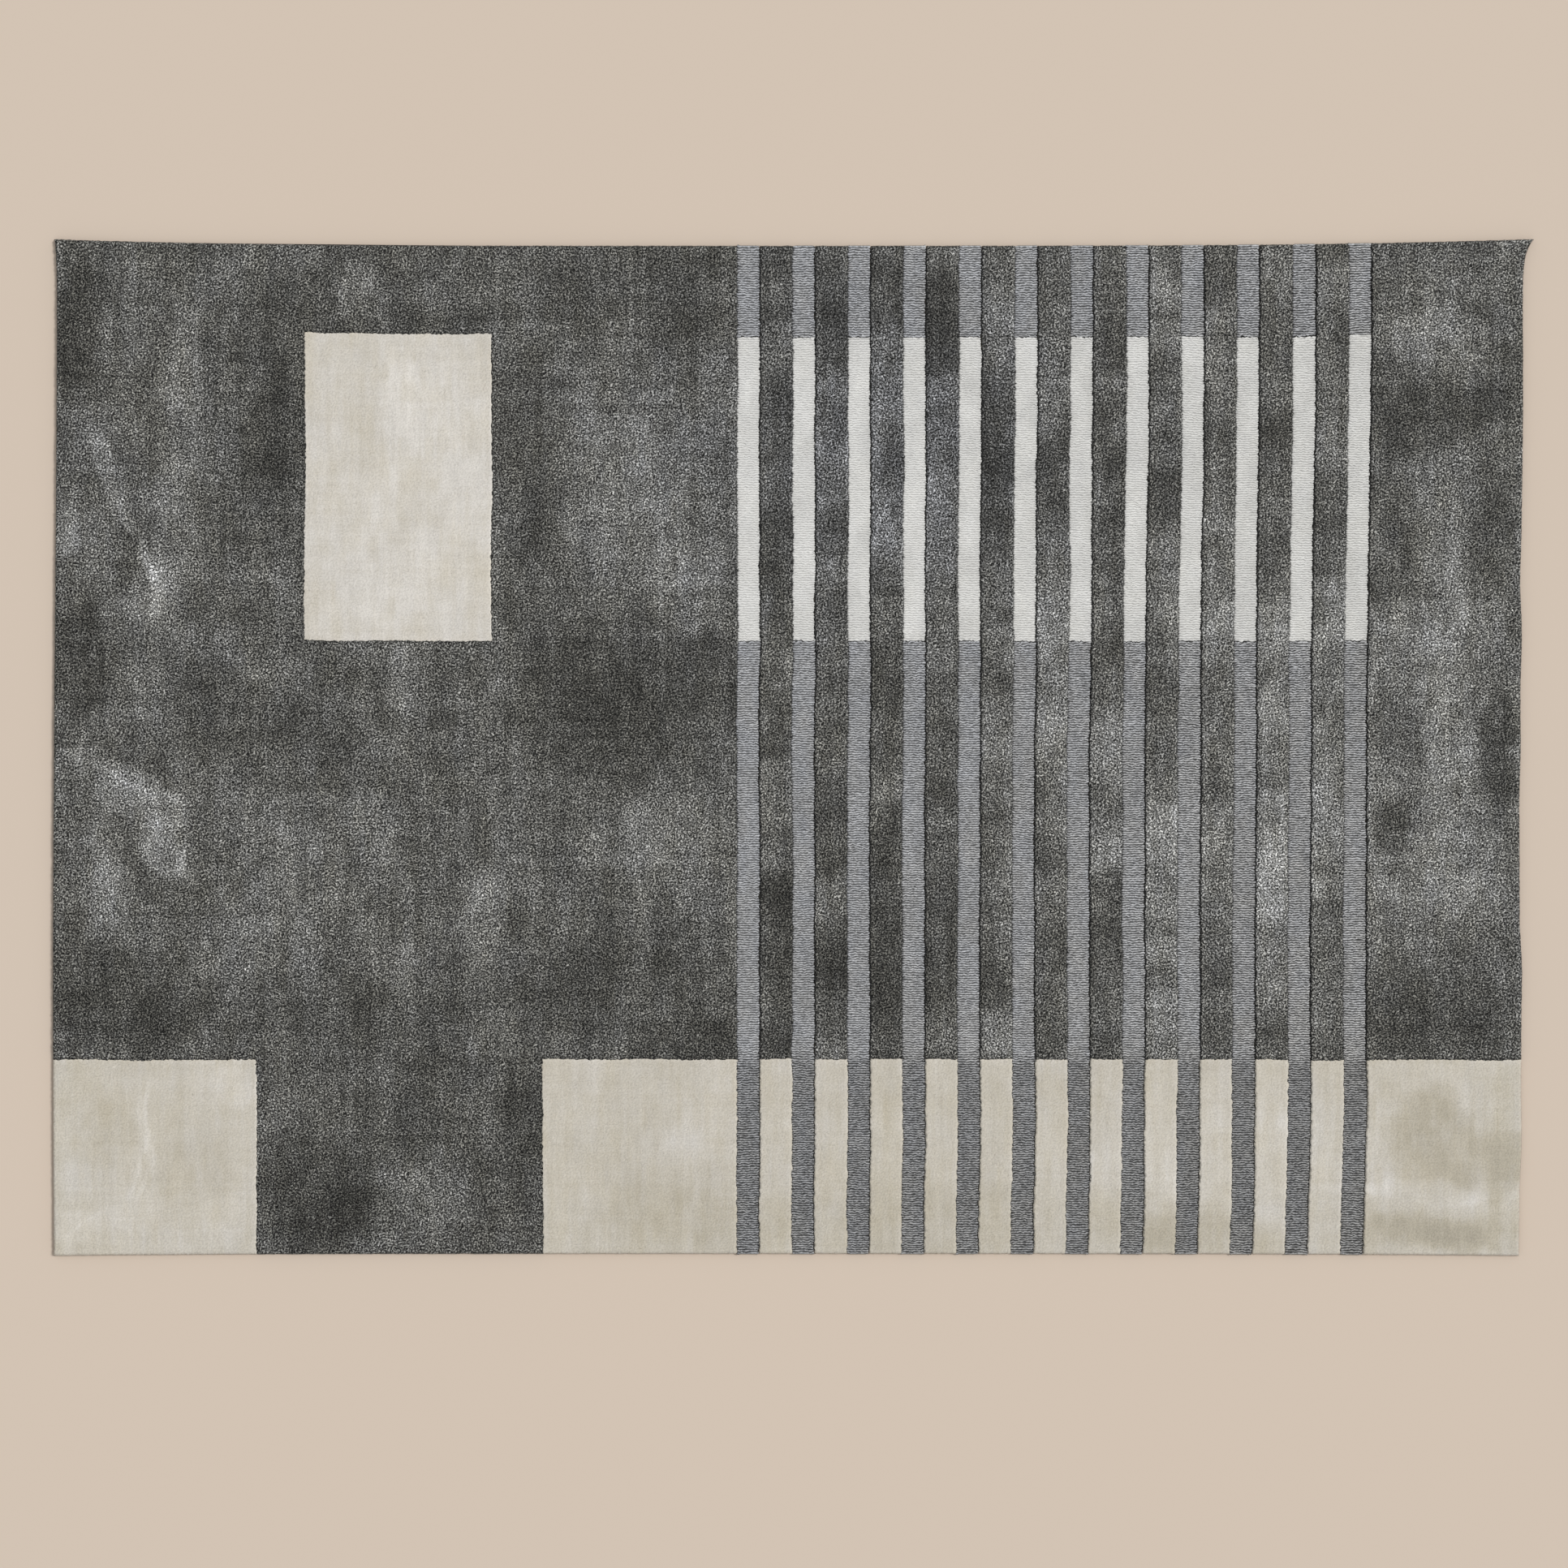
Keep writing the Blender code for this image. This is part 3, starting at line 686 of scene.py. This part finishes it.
LOOP_TONE, LOOP_TONE_SLOPE = 0.9, 0.4  # coolest at the upper left
LOOP_TONE_NOISE, LOOP_GAIN_NOISE = (0.5, 0.03, 0.05), (0.12, 0.04, 0.06)  # strength and sizes
LOOP_RAGGED = (0.001, 0.006)  # depths inside a stripe between which the ragged border fades
UPPER_CONTRAST, RIGHT_CONTRAST, LOWER_CONTRAST = 0.80, 0.20, 0.35
RIGHT_DARKER, LOWER_DARKER, IVORY_DARKER = 0.10, 0.46, 0.4  # the last as a share of the first
CREAM_FADE = 0.02  # how softly the loops change where the cream pile starts


def loop_piece(node, x_low, x_high, runs, seed):
    """Rows of loops along a stripe. runs are (y low, y high, whether it carries loops)."""
    colour = node.split("_")[0]
    columns = max(LEAST_COLUMNS, round((x_high - x_low) / LOOP_GRID))
    xs = np.linspace(x_low, x_high, columns + 1)
    ys, phases, carries = [], [], []
    for low, high, loops in runs:
        count = max(1, round((high - low) / ROW_PITCH))
        samples = ROW_SAMPLES
        if not loops:
            count, samples = max(LEAST_ROWS, round((high - low) / BED_STEP)), 1
        steps = np.arange(count * samples + 1) / samples
        ys.append(low + (high - low) * steps / count)
        phases.append(steps if loops else np.zeros_like(steps))
        carries.append(np.full(len(steps), loops))
    ys, phases, carries = (np.concatenate(a) for a in (ys, phases, carries))
    x, y = np.meshgrid(xs, ys)
    row, phase, carrying = (
        np.repeat(a[:, None], len(xs), axis=1) for a in (np.floor(phases), phases % 1.0, carries)
    )

    profile = np.abs(np.sin(math.pi * phase)) ** ROW_FULLNESS  # 0 between two rows, 1 along a row's middle
    from_side = np.minimum(x - x_low, x_high - x)
    side_drop = 1.0 - rounded(from_side, LOOP_SIDE_ROUND)
    lobes = noise(x + row * LOBE_SHIFT, y, LOBE_SIZE, ROW_PITCH, seed)
    height = LOOP_TOP - CREST_SINK + LOBE_HEIGHT * lobes
    height -= ROW_DEPTH * (1.0 - profile) + LOOP_SIDE_DROP * side_drop
    bed = DEAD_YARN_TOP - BED_SINK - BED_RIDGE * np.abs(np.sin(x * BED_TURNS))
    height = np.where(carrying, height, bed)

    wander = ROW_WANDER * noise(x, row * ROW_PITCH * ROW_CHANGE, ROW_WANDER_SIZE, ROW_PITCH, seed + 1)
    wander += FINE_WANDER * ROW_WANDER * noise(x, row, FINE_WANDER_SIZE, 1.0, seed + 2)
    ends = np.minimum(y - ys.min(), ys.max() - y) < ROW_PITCH * STEADY_ENDS
    shade = 0.5 - 0.5 * noise(x + row * LOOP_SHADE_SHIFT, row, LOOP_SHADE_SIZE, 1.0, seed + 3)
    # tip is low between the rows, where the materials paint shade, and high along the crests, where they
    # paint highlights
    tip = profile * (1.0 - LOOP_SHADES * shade) - LOOP_SIDE_SHADE * side_drop
    strength, *sizes = LOOP_GAIN_NOISE
    gain = strength * cloud(x, y, *sizes, seed + 4) + loop_lie(colour, x, y)
    strength, *sizes = LOOP_TONE_NOISE
    tone = LOOP_TONE - LOOP_TONE_SLOPE * (x / RIGHT + (TOP - y) / WIDTH)
    tone += strength * cloud(x, y, *sizes, seed + 5)
    values = {
        "tip": np.clip(MEAN_TIP + row_contrast(x, y) * (tip - MEAN_TIP), 0.0, 1.0),
        "gain": np.exp(gain),
        "tone": np.clip(tone, 0.0, 1.0),
    }
    from_colour = np.minimum(np.abs(y - (TOP - IVORY_START)), np.abs(y - (TOP - IVORY_END)))
    ragged = 1.0 - smooth_step(*LOOP_RAGGED, np.minimum(from_side, from_colour))
    x, y = wandered(x, y)
    tops = placed(x, y + np.where(carrying & ~ends, wander, 0.0), height, ragged)
    roots = placed(x, y, PILE_ROOT if len(runs) > 1 else DEAD_YARN_TOP + GAP, ragged)
    kept = np.ones((len(ys) - 1, len(xs) - 1), bool)
    mesh = closed_relief(f"{node}_loops", tops, roots, kept, values)
    return add_piece(mesh.name, mesh, MATERIALS[f"{colour}_loop"], [node])


def from_stripes_left(x):
    """0 at the first stripe's left edge and 1 at the last one's right edge."""
    return smooth_step(LEFT + FIRST_STRIPE, LEFT + LAST_STRIPE_END, x)


def in_cream_rows(y):
    """1 where the stripes run between areas of cream pile and 0 above."""
    return smooth_step(CREAM_START - CREAM_FADE, CREAM_START + CREAM_FADE, TOP - y)


def row_contrast(x, y):
    """How strongly the rows stand out: least at the upper left, most between the cream pile areas."""
    return UPPER_CONTRAST + RIGHT_CONTRAST * from_stripes_left(x) + LOWER_CONTRAST * in_cream_rows(y)


def loop_lie(colour, x, y):
    """Grey loops look darker between the cream pile areas and a little darker to the right."""
    rightward = -RIGHT_DARKER * from_stripes_left(x)
    if colour == "ivory":
        return IVORY_DARKER * rightward
    return rightward - LOWER_DARKER * in_cream_rows(y)


def build_loop_pile():
    """Every stripe of loop pile: grey above and below, and ivory between them."""
    pieces = []
    low, high = TOP - IVORY_END, TOP - IVORY_START
    grey_runs = [(BOTTOM, low - GAP, True), (low - GAP / 2, high + GAP / 2, False), (high + GAP, TOP, True)]
    ivory_runs = [(low, high, True)]
    for number in range(1, STRIPE_COUNT + 1):
        left = LEFT + FIRST_STRIPE + STRIPE_PITCH * (number - 1)
        sides = (left + GAP / 2, left + STRIPE_WIDTH - GAP / 2)
        for kind, runs, seed in (("grey_loop_stripe", grey_runs, 0), ("ivory_loop_inset", ivory_runs, 50)):
            pieces.append(loop_piece(f"{kind}_{number:02d}", *sides, runs, 100 * number + seed))
    return pieces


# ---------- the cloth back
CLOTH_GRID, LAYER_GRID = 0.012, 0.02
GROUND_RIPPLE, LATEX_RIPPLE, CANVAS_RIPPLE, RIPPLE_SIZE = 0.00015, 0.0003, 0.00012, 0.03
TAPE_ROWS = 9  # of points across a tape
TAPE_LIFT = 0.0003  # the tapes' underside above their stitches
PUCKER, PUCKER_TURNS = 0.00012, 160.0  # depth, and how fast it changes across a tape
STITCH_PITCH = 0.0065
STITCH_LENGTH, STITCH_WIDTH, STITCH_THICKNESS = 0.0048, 0.0009, 0.000504
STITCH_Z = 0.000245  # of a stitch's middle
STITCH_INSETS = (0.004, 0.036)  # of the two sewn lines from a tape's outer edge
STITCH_RING = 6
STITCH_PROFILE = ((-1.0, 0.15), (-0.6, 0.85), (0.0, 1.0), (0.6, 0.85), (1.0, 0.15))  # place and girth


def cloth_piece(name, node, material, edge, step, ripple, seed):
    """A layer of cloth: both faces of a grid, with small ripples in each."""
    xs = grid_lines([LEFT + edge, RIGHT - edge], step)
    ys = grid_lines([BOTTOM + edge, TOP - edge], step)
    x, y = np.meshgrid(xs, ys)
    rise = ripple * cloud(x, y, RIPPLE_SIZE, RIPPLE_SIZE, seed)
    (_, _, low), (_, _, high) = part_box(node)
    tops = placed(x, y, high + np.minimum(rise, 0.0))
    unders = placed(x, y, low + np.maximum(rise, 0.0))
    mesh = sheet_mesh(name, tops, unders)
    return add_piece(name, mesh, MATERIALS[material], [node])


def sheet_mesh(name, tops, unders):
    """A closed mesh from two matching grids of points, one above the other."""
    rows, columns = tops.shape[:2]
    ids = np.arange(rows * columns).reshape(rows, columns)
    low = ids + rows * columns
    quads = [
        np.stack([ids[:-1, :-1], ids[:-1, 1:], ids[1:, 1:], ids[1:, :-1]], axis=-1).reshape(-1, 4),
        np.stack([low[:-1, :-1], low[1:, :-1], low[1:, 1:], low[:-1, 1:]], axis=-1).reshape(-1, 4),
    ]
    ring = [ids[0, :], ids[:, -1], ids[-1, ::-1], ids[::-1, 0]]
    for side in ring:
        start, end = side[:-1], side[1:]
        quads.append(np.stack([start + rows * columns, end + rows * columns, end, start], axis=1))
    points = np.concatenate([tops.reshape(-1, 3), unders.reshape(-1, 3)])
    return mesh_from_arrays(name, points, quads, {})


TAPE_SIDES = {
    "top": ((LEFT, TOP), (RIGHT, TOP), (0.0, -1.0)),
    "bottom": ((LEFT, BOTTOM), (RIGHT, BOTTOM), (0.0, 1.0)),
    "left": ((LEFT, BOTTOM), (LEFT, TOP), (1.0, 0.0)),
    "right": ((RIGHT, BOTTOM), (RIGHT, TOP), (-1.0, 0.0)),
}


def tape_points(side, along, depth):
    """Nominal points of a hem tape: along from 0 to 1, and depth in from the rug's outline."""
    (x0, y0), (x1, y1), (in_x, in_y) = TAPE_SIDES[side]
    span_x, span_y = x1 - x0, y1 - y0
    length = abs(span_x) + abs(span_y)
    reach = (depth + GAP + (length - 2 * depth - 2 * GAP) * along) / length
    return x0 + span_x * reach + in_x * depth, y0 + span_y * reach + in_y * depth


def build_tapes(canvas_top):
    """The four mitred hem tapes, with their stitches."""
    inner = BACK_INSET + TAPE_WIDTH - GAP / 2
    for side in TAPE_SIDES:
        length = LENGTH if side in ("top", "bottom") else WIDTH
        steps = np.linspace(0, 1, round(length / CLOTH_GRID) + 1)
        along, depth = np.meshgrid(steps, np.linspace(BACK_INSET, inner, TAPE_ROWS))
        x, y = tape_points(side, along, depth)
        pucker = PUCKER * np.sin(along * length / STITCH_PITCH * math.pi / 2)
        pucker = pucker * np.cos((depth - BACK_INSET) * PUCKER_TURNS)
        name = f"hem_tape_{side}_cloth"
        mesh = sheet_mesh(name, placed(x, y, canvas_top), placed(x, y, TAPE_LIFT + np.abs(pucker)))
        tape = add_piece(name, mesh, MATERIALS["hem_tape"], [f"hem_tape_{side}"])
        stitches = stitch_piece(side, length)


def stitch_piece(side, length):
    """The stitches of one tape: two sewn lines of short thread lengths lying on its underside."""
    turns = np.arange(STITCH_RING) / STITCH_RING * 2 * math.pi
    points, faces = [], []
    for inset in STITCH_INSETS:
        depth = BACK_INSET + inset
        count = int((length - 2 * depth) / STITCH_PITCH)
        middles = (np.arange(count) + 0.5) / count
        x, y = tape_points(side, middles, np.full(count, depth))
        for middle_x, middle_y in zip(x, y):
            base = len(points)
            for place, girth in STITCH_PROFILE:
                for turn in turns:
                    dx, dy = place * STITCH_LENGTH / 2, math.cos(turn) * girth * STITCH_WIDTH / 2
                    if side in ("left", "right"):
                        dx, dy = dy, dx
                    up = math.sin(turn) * girth * STITCH_THICKNESS / 2
                    points.append((middle_x + dx, middle_y + dy, STITCH_Z + up))
            for section in range(len(STITCH_PROFILE) - 1):
                first = base + section * STITCH_RING
                for r in range(STITCH_RING):
                    a, b = first + r, first + (r + 1) % STITCH_RING
                    faces.append((a, b, b + STITCH_RING, a + STITCH_RING))
    name = f"hem_stitches_{side}"
    mesh = mesh_from_arrays(name, placed(*np.array(points).T), [np.array(faces)], {})
    return add_piece(name, mesh, MATERIALS["thread"], [f"hem_tape_{side}"])


def build_back():
    """The layers under the pile."""
    inside_tapes = BACK_INSET + TAPE_WIDTH + GAP / 2
    layers = (
        ("ground_cloth_weave", "ground_cloth", "ground_cloth", BACK_INSET, LAYER_GRID, GROUND_RIPPLE, 81),
        ("latex_coat_skin", "latex_coat", "latex", BACK_INSET, LAYER_GRID, LATEX_RIPPLE, 82),
        ("backing_canvas_cloth", "backing_canvas", "canvas", inside_tapes, CLOTH_GRID, CANVAS_RIPPLE, 83),
    )
    ground, _, canvas = [cloth_piece(*layer) for layer in layers]
    build_tapes(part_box("backing_canvas")[1][2])


# ---------- materials
SPECULAR, SHEEN_ROUGHNESS, NOISE_ROUGHNESS = 0.15, 0.5, 0.6
FIBRE_SCALE, FIBRE_LOW, FIBRE_HIGH, FIBRE_BUMP = 420.0, 0.25, 0.75, 0.7
GLOSS_SCALE, GLOSS_SPREAD = 240.0, 0.12  # of the yarns' roughness
SLUB_SCALE, SLUB_DETAIL, SLUB_STRETCH = 35.0, 3.0, (1.0, 6.0, 1.0)  # thick places in woven threads
SLUB_DARK, SLUB_LIGHT, SLUB_SMOOTH, SLUB_ROUGH = 0.78, 1.18, 0.08, 0.06
THREAD_EDGE, THREAD_CREST = 0.6, 1.12  # where a woven thread starts, and how bright the painted highlight on its crest is
WEAVE_BUMP, WEAVE_SHEEN = 0.8, 0.1
BLOTCH_SCALE, BLOTCH_DETAIL, SKIN_SCALE, SKIN_DETAIL = 28.0, 4.0, 190.0, 3.0
TWIST_SCALE, TWIST_UNEVEN = 420.0, 0.3


class Surface:
    """A material under construction: short ways to add and link shader nodes."""

    def __init__(self, name, roughness, sheen=0.0):
        self.material = bpy.data.materials.new(name)
        self.material.use_nodes = True
        self.tree = self.material.node_tree
        self.shader = self.tree.nodes["Principled BSDF"]
        sheens = {"Sheen Weight": sheen, "Sheen Roughness": SHEEN_ROUGHNESS}
        self.fill(self.shader, {"Roughness": roughness, "Specular IOR Level": SPECULAR, **sheens})
        self.place = self.node("TexCoord", {}).outputs["Object"]

    def fill(self, node, values):
        """Link outputs to a node's inputs, or set plain values on them."""
        for key, value in values.items():
            if isinstance(value, bpy.types.NodeSocket):
                self.tree.links.new(value, node.inputs[key])
            else:
                node.inputs[key].default_value = value

    def node(self, kind, values):
        """A new node with its inputs filled."""
        made = self.tree.nodes.new(f"ShaderNode{kind}")
        self.fill(made, values)
        return made

    def attribute(self, name):
        """A value kept on the vertices."""
        node = self.node("Attribute", {})
        node.attribute_name = name
        return node.outputs["Fac"]

    def noise(self, scale, detail=2.0, stretch=(1.0, 1.0, 1.0)):
        """Fine noise, with scale in waves to a metre."""
        place = self.node("Mapping", {"Scale": stretch, "Vector": self.place}).outputs["Vector"]
        values = {"Scale": scale, "Detail": detail, "Roughness": NOISE_ROUGHNESS, "Vector": place}
        return self.node("TexNoise", values).outputs["Fac"]

    def waves(self, scale, direction, distortion=0.6):
        """Parallel ridges, such as the threads of a weave."""
        values = {"Scale": scale, "Distortion": distortion, "Detail": 1.0, "Vector": self.place}
        node = self.node("TexWave", values)
        node.bands_direction = direction
        return node.outputs["Fac"]

    def ramp(self, value, stops):
        """Colours by value: stops are (position, colour)."""
        node = self.node("ValToRGB", {"Fac": value})
        elements = node.color_ramp.elements
        while len(elements) < len(stops):
            elements.new(0.5)
        for element, (position, colour) in zip(elements, stops):
            element.position = position
            element.color = (*colour, 1.0)
        return node.outputs["Color"]

    def mix(self, kind, factor, first, second):
        """A colour mix of the given blend type; sockets 6, 7 and 2 are the node's colour ones."""
        node = self.node("Mix", {})
        node.data_type = "RGBA"
        node.blend_type = kind
        self.fill(node, {"Factor": factor, 6: first, 7: second})
        return node.outputs[2]

    def add(self, first, second):
        """The sum of two values."""
        return self.node("Math", {0: first, 1: second}).outputs["Value"]

    def span(self, value, low, high, start=0.0, end=1.0):
        """A value from start to end spread over low to high."""
        values = {"From Min": start, "From Max": end, "To Min": low, "To Max": high, "Value": value}
        return self.node("MapRange", values).outputs["Result"]

    def bump(self, height, distance, strength=1.0):
        """Fine relief on the shader's normal."""
        node = self.node("Bump", {"Distance": distance, "Strength": strength, "Height": height})
        self.fill(self.shader, {"Normal": node.outputs["Normal"]})

    def finish(self, colour, roughness):
        """Set the colour and the roughness, and hand over the material."""
        self.fill(self.shader, {"Base Color": colour, "Roughness": roughness})
        return self.material


def yarn_material(name, ramp, warm, cool, fibre, roughness, sheen, relief):
    """A yarn from painted shade in its gaps to painted highlights on its tips, tinted by the lie of the pile
    and multiplied by its painted sheen and shade, with fine fibres.
    """
    surface = Surface(name, roughness, sheen)
    fibres = surface.noise(FIBRE_SCALE)
    level = surface.add(surface.attribute("tip"), surface.span(fibres, -fibre, fibre, FIBRE_LOW, FIBRE_HIGH))
    colour = surface.ramp(level, ramp)
    tint = surface.mix("MIX", surface.attribute("tone"), (*warm, 1.0), (*cool, 1.0))
    colour = surface.mix("MULTIPLY", 1.0, colour, tint)
    # gain multiplies the painted sheen and shade of the pile's lie into the colour
    colour = surface.mix("MULTIPLY", 1.0, colour, surface.attribute("gain"))
    surface.bump(fibres, relief, FIBRE_BUMP)
    gloss = surface.noise(GLOSS_SCALE)
    return surface.finish(colour, surface.span(gloss, roughness - GLOSS_SPREAD, roughness + GLOSS_SPREAD))


def woven_material(name, thread, gap, scale, roughness, relief):
    """A plain weave of threads both ways."""
    surface = Surface(name, roughness, WEAVE_SHEEN)
    weave = surface.mix("MULTIPLY", 1.0, surface.waves(scale, "X"), surface.waves(scale, "Y"))
    slubs = surface.noise(SLUB_SCALE, SLUB_DETAIL, SLUB_STRETCH)
    crest = tuple(c * THREAD_CREST for c in thread)
    # Painted shade in the gaps between threads, and a painted highlight on their crests.
    colour = surface.ramp(weave, ((0.0, gap), (THREAD_EDGE, thread), (1.0, crest)))
    colour = surface.mix("MULTIPLY", 1.0, colour, surface.span(slubs, SLUB_DARK, SLUB_LIGHT))
    surface.bump(weave, relief, WEAVE_BUMP)
    return surface.finish(colour, surface.span(slubs, roughness - SLUB_SMOOTH, roughness + SLUB_ROUGH))


def latex_material():
    """Dried latex: blotchy, with a faint skin."""
    surface = Surface("latex_skin", 0.55)
    blotches = surface.noise(BLOTCH_SCALE, BLOTCH_DETAIL)
    colour = surface.ramp(blotches, ((0.25, (0.46, 0.42, 0.33)), (0.75, (0.66, 0.62, 0.52))))
    surface.bump(surface.noise(SKIN_SCALE, SKIN_DETAIL), 0.0006, 0.8)
    return surface.finish(colour, surface.span(blotches, 0.4, 0.7))


def thread_material():
    """Twisted sewing thread."""
    surface = Surface("sewing_thread", 0.6, 0.2)
    twist = surface.waves(TWIST_SCALE, "DIAGONAL", TWIST_UNEVEN)
    colour = surface.ramp(twist, ((0.0, (0.50, 0.46, 0.38)), (1.0, (0.78, 0.74, 0.64))))
    surface.bump(twist, 0.0002)
    return surface.finish(colour, surface.span(twist, 0.5, 0.7))


def grey_ramp(*levels):
    """Neutral ramp stops from (position, brightness) pairs."""
    return [(position, (level, level, level)) for position, level in levels]


# Each yarn ramp runs from painted shade in the gaps (tip 0) to painted highlights on the tips (tip 1).
MATERIALS = {
    "charcoal": yarn_material(
        "charcoal_viscose", grey_ramp((0.0, 0.001), (0.3, 0.014), (0.6, 0.125), (1.0, 0.52)),
        warm=(1.0, 0.972, 0.86), cool=(0.975, 0.985, 1.01),
        fibre=0.30, roughness=0.65, sheen=0.10, relief=0.0005,
    ),
    "cream": yarn_material(
        "cream_viscose", grey_ramp((0.0, 0.49), (0.5, 0.570), (1.0, 0.62)),
        warm=(1.0, 0.905, 0.72), cool=(1.0, 0.948, 0.87),
        fibre=0.25, roughness=0.60, sheen=0.20, relief=0.0003,
    ),
    "grey_loop": yarn_material(
        "grey_wool", grey_ramp((0.0, 0.012), (0.38, 0.17), (0.75, 0.52), (1.0, 0.78)),
        warm=(1.01, 0.995, 0.97), cool=(0.985, 1.0, 1.04),
        fibre=0.12, roughness=0.85, sheen=0.1, relief=0.0003,
    ),
    "ivory_loop": yarn_material(
        "ivory_wool", grey_ramp((0.0, 0.41), (0.5, 0.70), (1.0, 0.87)),
        warm=(1.0, 0.985, 0.935), cool=(1.0, 0.99, 0.96),
        fibre=0.12, roughness=0.85, sheen=0.1, relief=0.0003,
    ),
    # The gap colours are painted shade between the threads.
    "ground_cloth": woven_material(
        "ground_cotton", thread=(0.44, 0.39, 0.31), gap=(0.22, 0.19, 0.15),
        scale=260.0, roughness=0.85, relief=0.0004,
    ),
    "canvas": woven_material(
        "canvas_cotton", thread=(0.54, 0.48, 0.37), gap=(0.30, 0.26, 0.20),
        scale=210.0, roughness=0.85, relief=0.0005,
    ),
    "hem_tape": woven_material(
        "twill_tape", thread=(0.34, 0.31, 0.26), gap=(0.16, 0.145, 0.12),
        scale=330.0, roughness=0.8, relief=0.0003,
    ),
    "latex": latex_material(),
    "thread": thread_material(),
}

# ---------- the studio
FLOOR_COLOUR, FLOOR_ROUGHNESS = (0.651, 0.546, 0.451), 0.9
FLOOR_REACH, FLOOR_DEPTH = 30.0, 0.0006
VIEW_MIDDLE = (1.4408, 1.0636)  # from the rug's left and top edges
VIEW_WIDTH = 3.0947  # of the picture, at the height of the pile
LENS, SENSOR, VIEW_DEPTH = 100.0, 36.0, 100.0
SUN_AZIMUTH, SUN_ELEVATION, SUN_SIZE = 20.0, 58.0, 16.0
SUN_STRENGTH, SKY_STRENGTH = 1.78, 0.53
SKY_COLOUR = (0.98, 0.99, 1.0)


def build_studio():
    """A plain floor, a soft key light from the right, an even surround and the camera."""
    sides = ((-1, -1), (1, -1), (1, 1), (-1, 1))
    corners = [(x * FLOOR_REACH, y * FLOOR_REACH, -FLOOR_DEPTH) for x, y in sides]
    mesh = bpy.data.meshes.new("studio_floor")
    mesh.from_pydata(corners, [], [(0, 1, 2, 3)])
    floor = bpy.data.objects.new("studio_floor", mesh)
    scene.collection.objects.link(floor)
    material = bpy.data.materials.new("studio_floor")
    material.use_nodes = True
    shader = material.node_tree.nodes["Principled BSDF"]
    shader.inputs["Base Color"].default_value = (*FLOOR_COLOUR, 1.0)
    shader.inputs["Roughness"].default_value = FLOOR_ROUGHNESS
    shader.inputs["Specular IOR Level"].default_value = 0.0
    floor.data.materials.append(material)

    world = bpy.data.worlds.new("studio_surround")
    world.use_nodes = True
    background = world.node_tree.nodes["Background"]
    background.inputs["Color"].default_value = (*SKY_COLOUR, 1.0)
    background.inputs["Strength"].default_value = SKY_STRENGTH
    scene.world = world

    sun = bpy.data.objects.new("studio_key", bpy.data.lights.new("studio_key", "SUN"))
    sun.data.energy = SUN_STRENGTH
    sun.data.angle = math.radians(SUN_SIZE)
    azimuth, elevation = math.radians(SUN_AZIMUTH), math.radians(SUN_ELEVATION)
    level = math.cos(elevation)
    towards = Vector((level * math.cos(azimuth), level * math.sin(azimuth), math.sin(elevation)))
    sun.rotation_mode = "QUATERNION"
    sun.rotation_quaternion = towards.to_track_quat("Z", "Y")
    scene.collection.objects.link(sun)

    camera = bpy.data.objects.new("camera", bpy.data.cameras.new("camera"))
    camera.data.lens, camera.data.sensor_width = LENS, SENSOR
    camera.data.clip_end = VIEW_DEPTH
    camera.location = (
        LEFT + VIEW_MIDDLE[0] - MIDDLE[0],
        TOP - VIEW_MIDDLE[1] - MIDDLE[1],
        CUT_TOP + VIEW_WIDTH * LENS / SENSOR,
    )
    scene.collection.objects.link(camera)
    scene.camera = camera
    scene.view_settings.view_transform = "Standard"


build_studio()
pile = build_cut_pile() + build_loop_pile()
build_back()
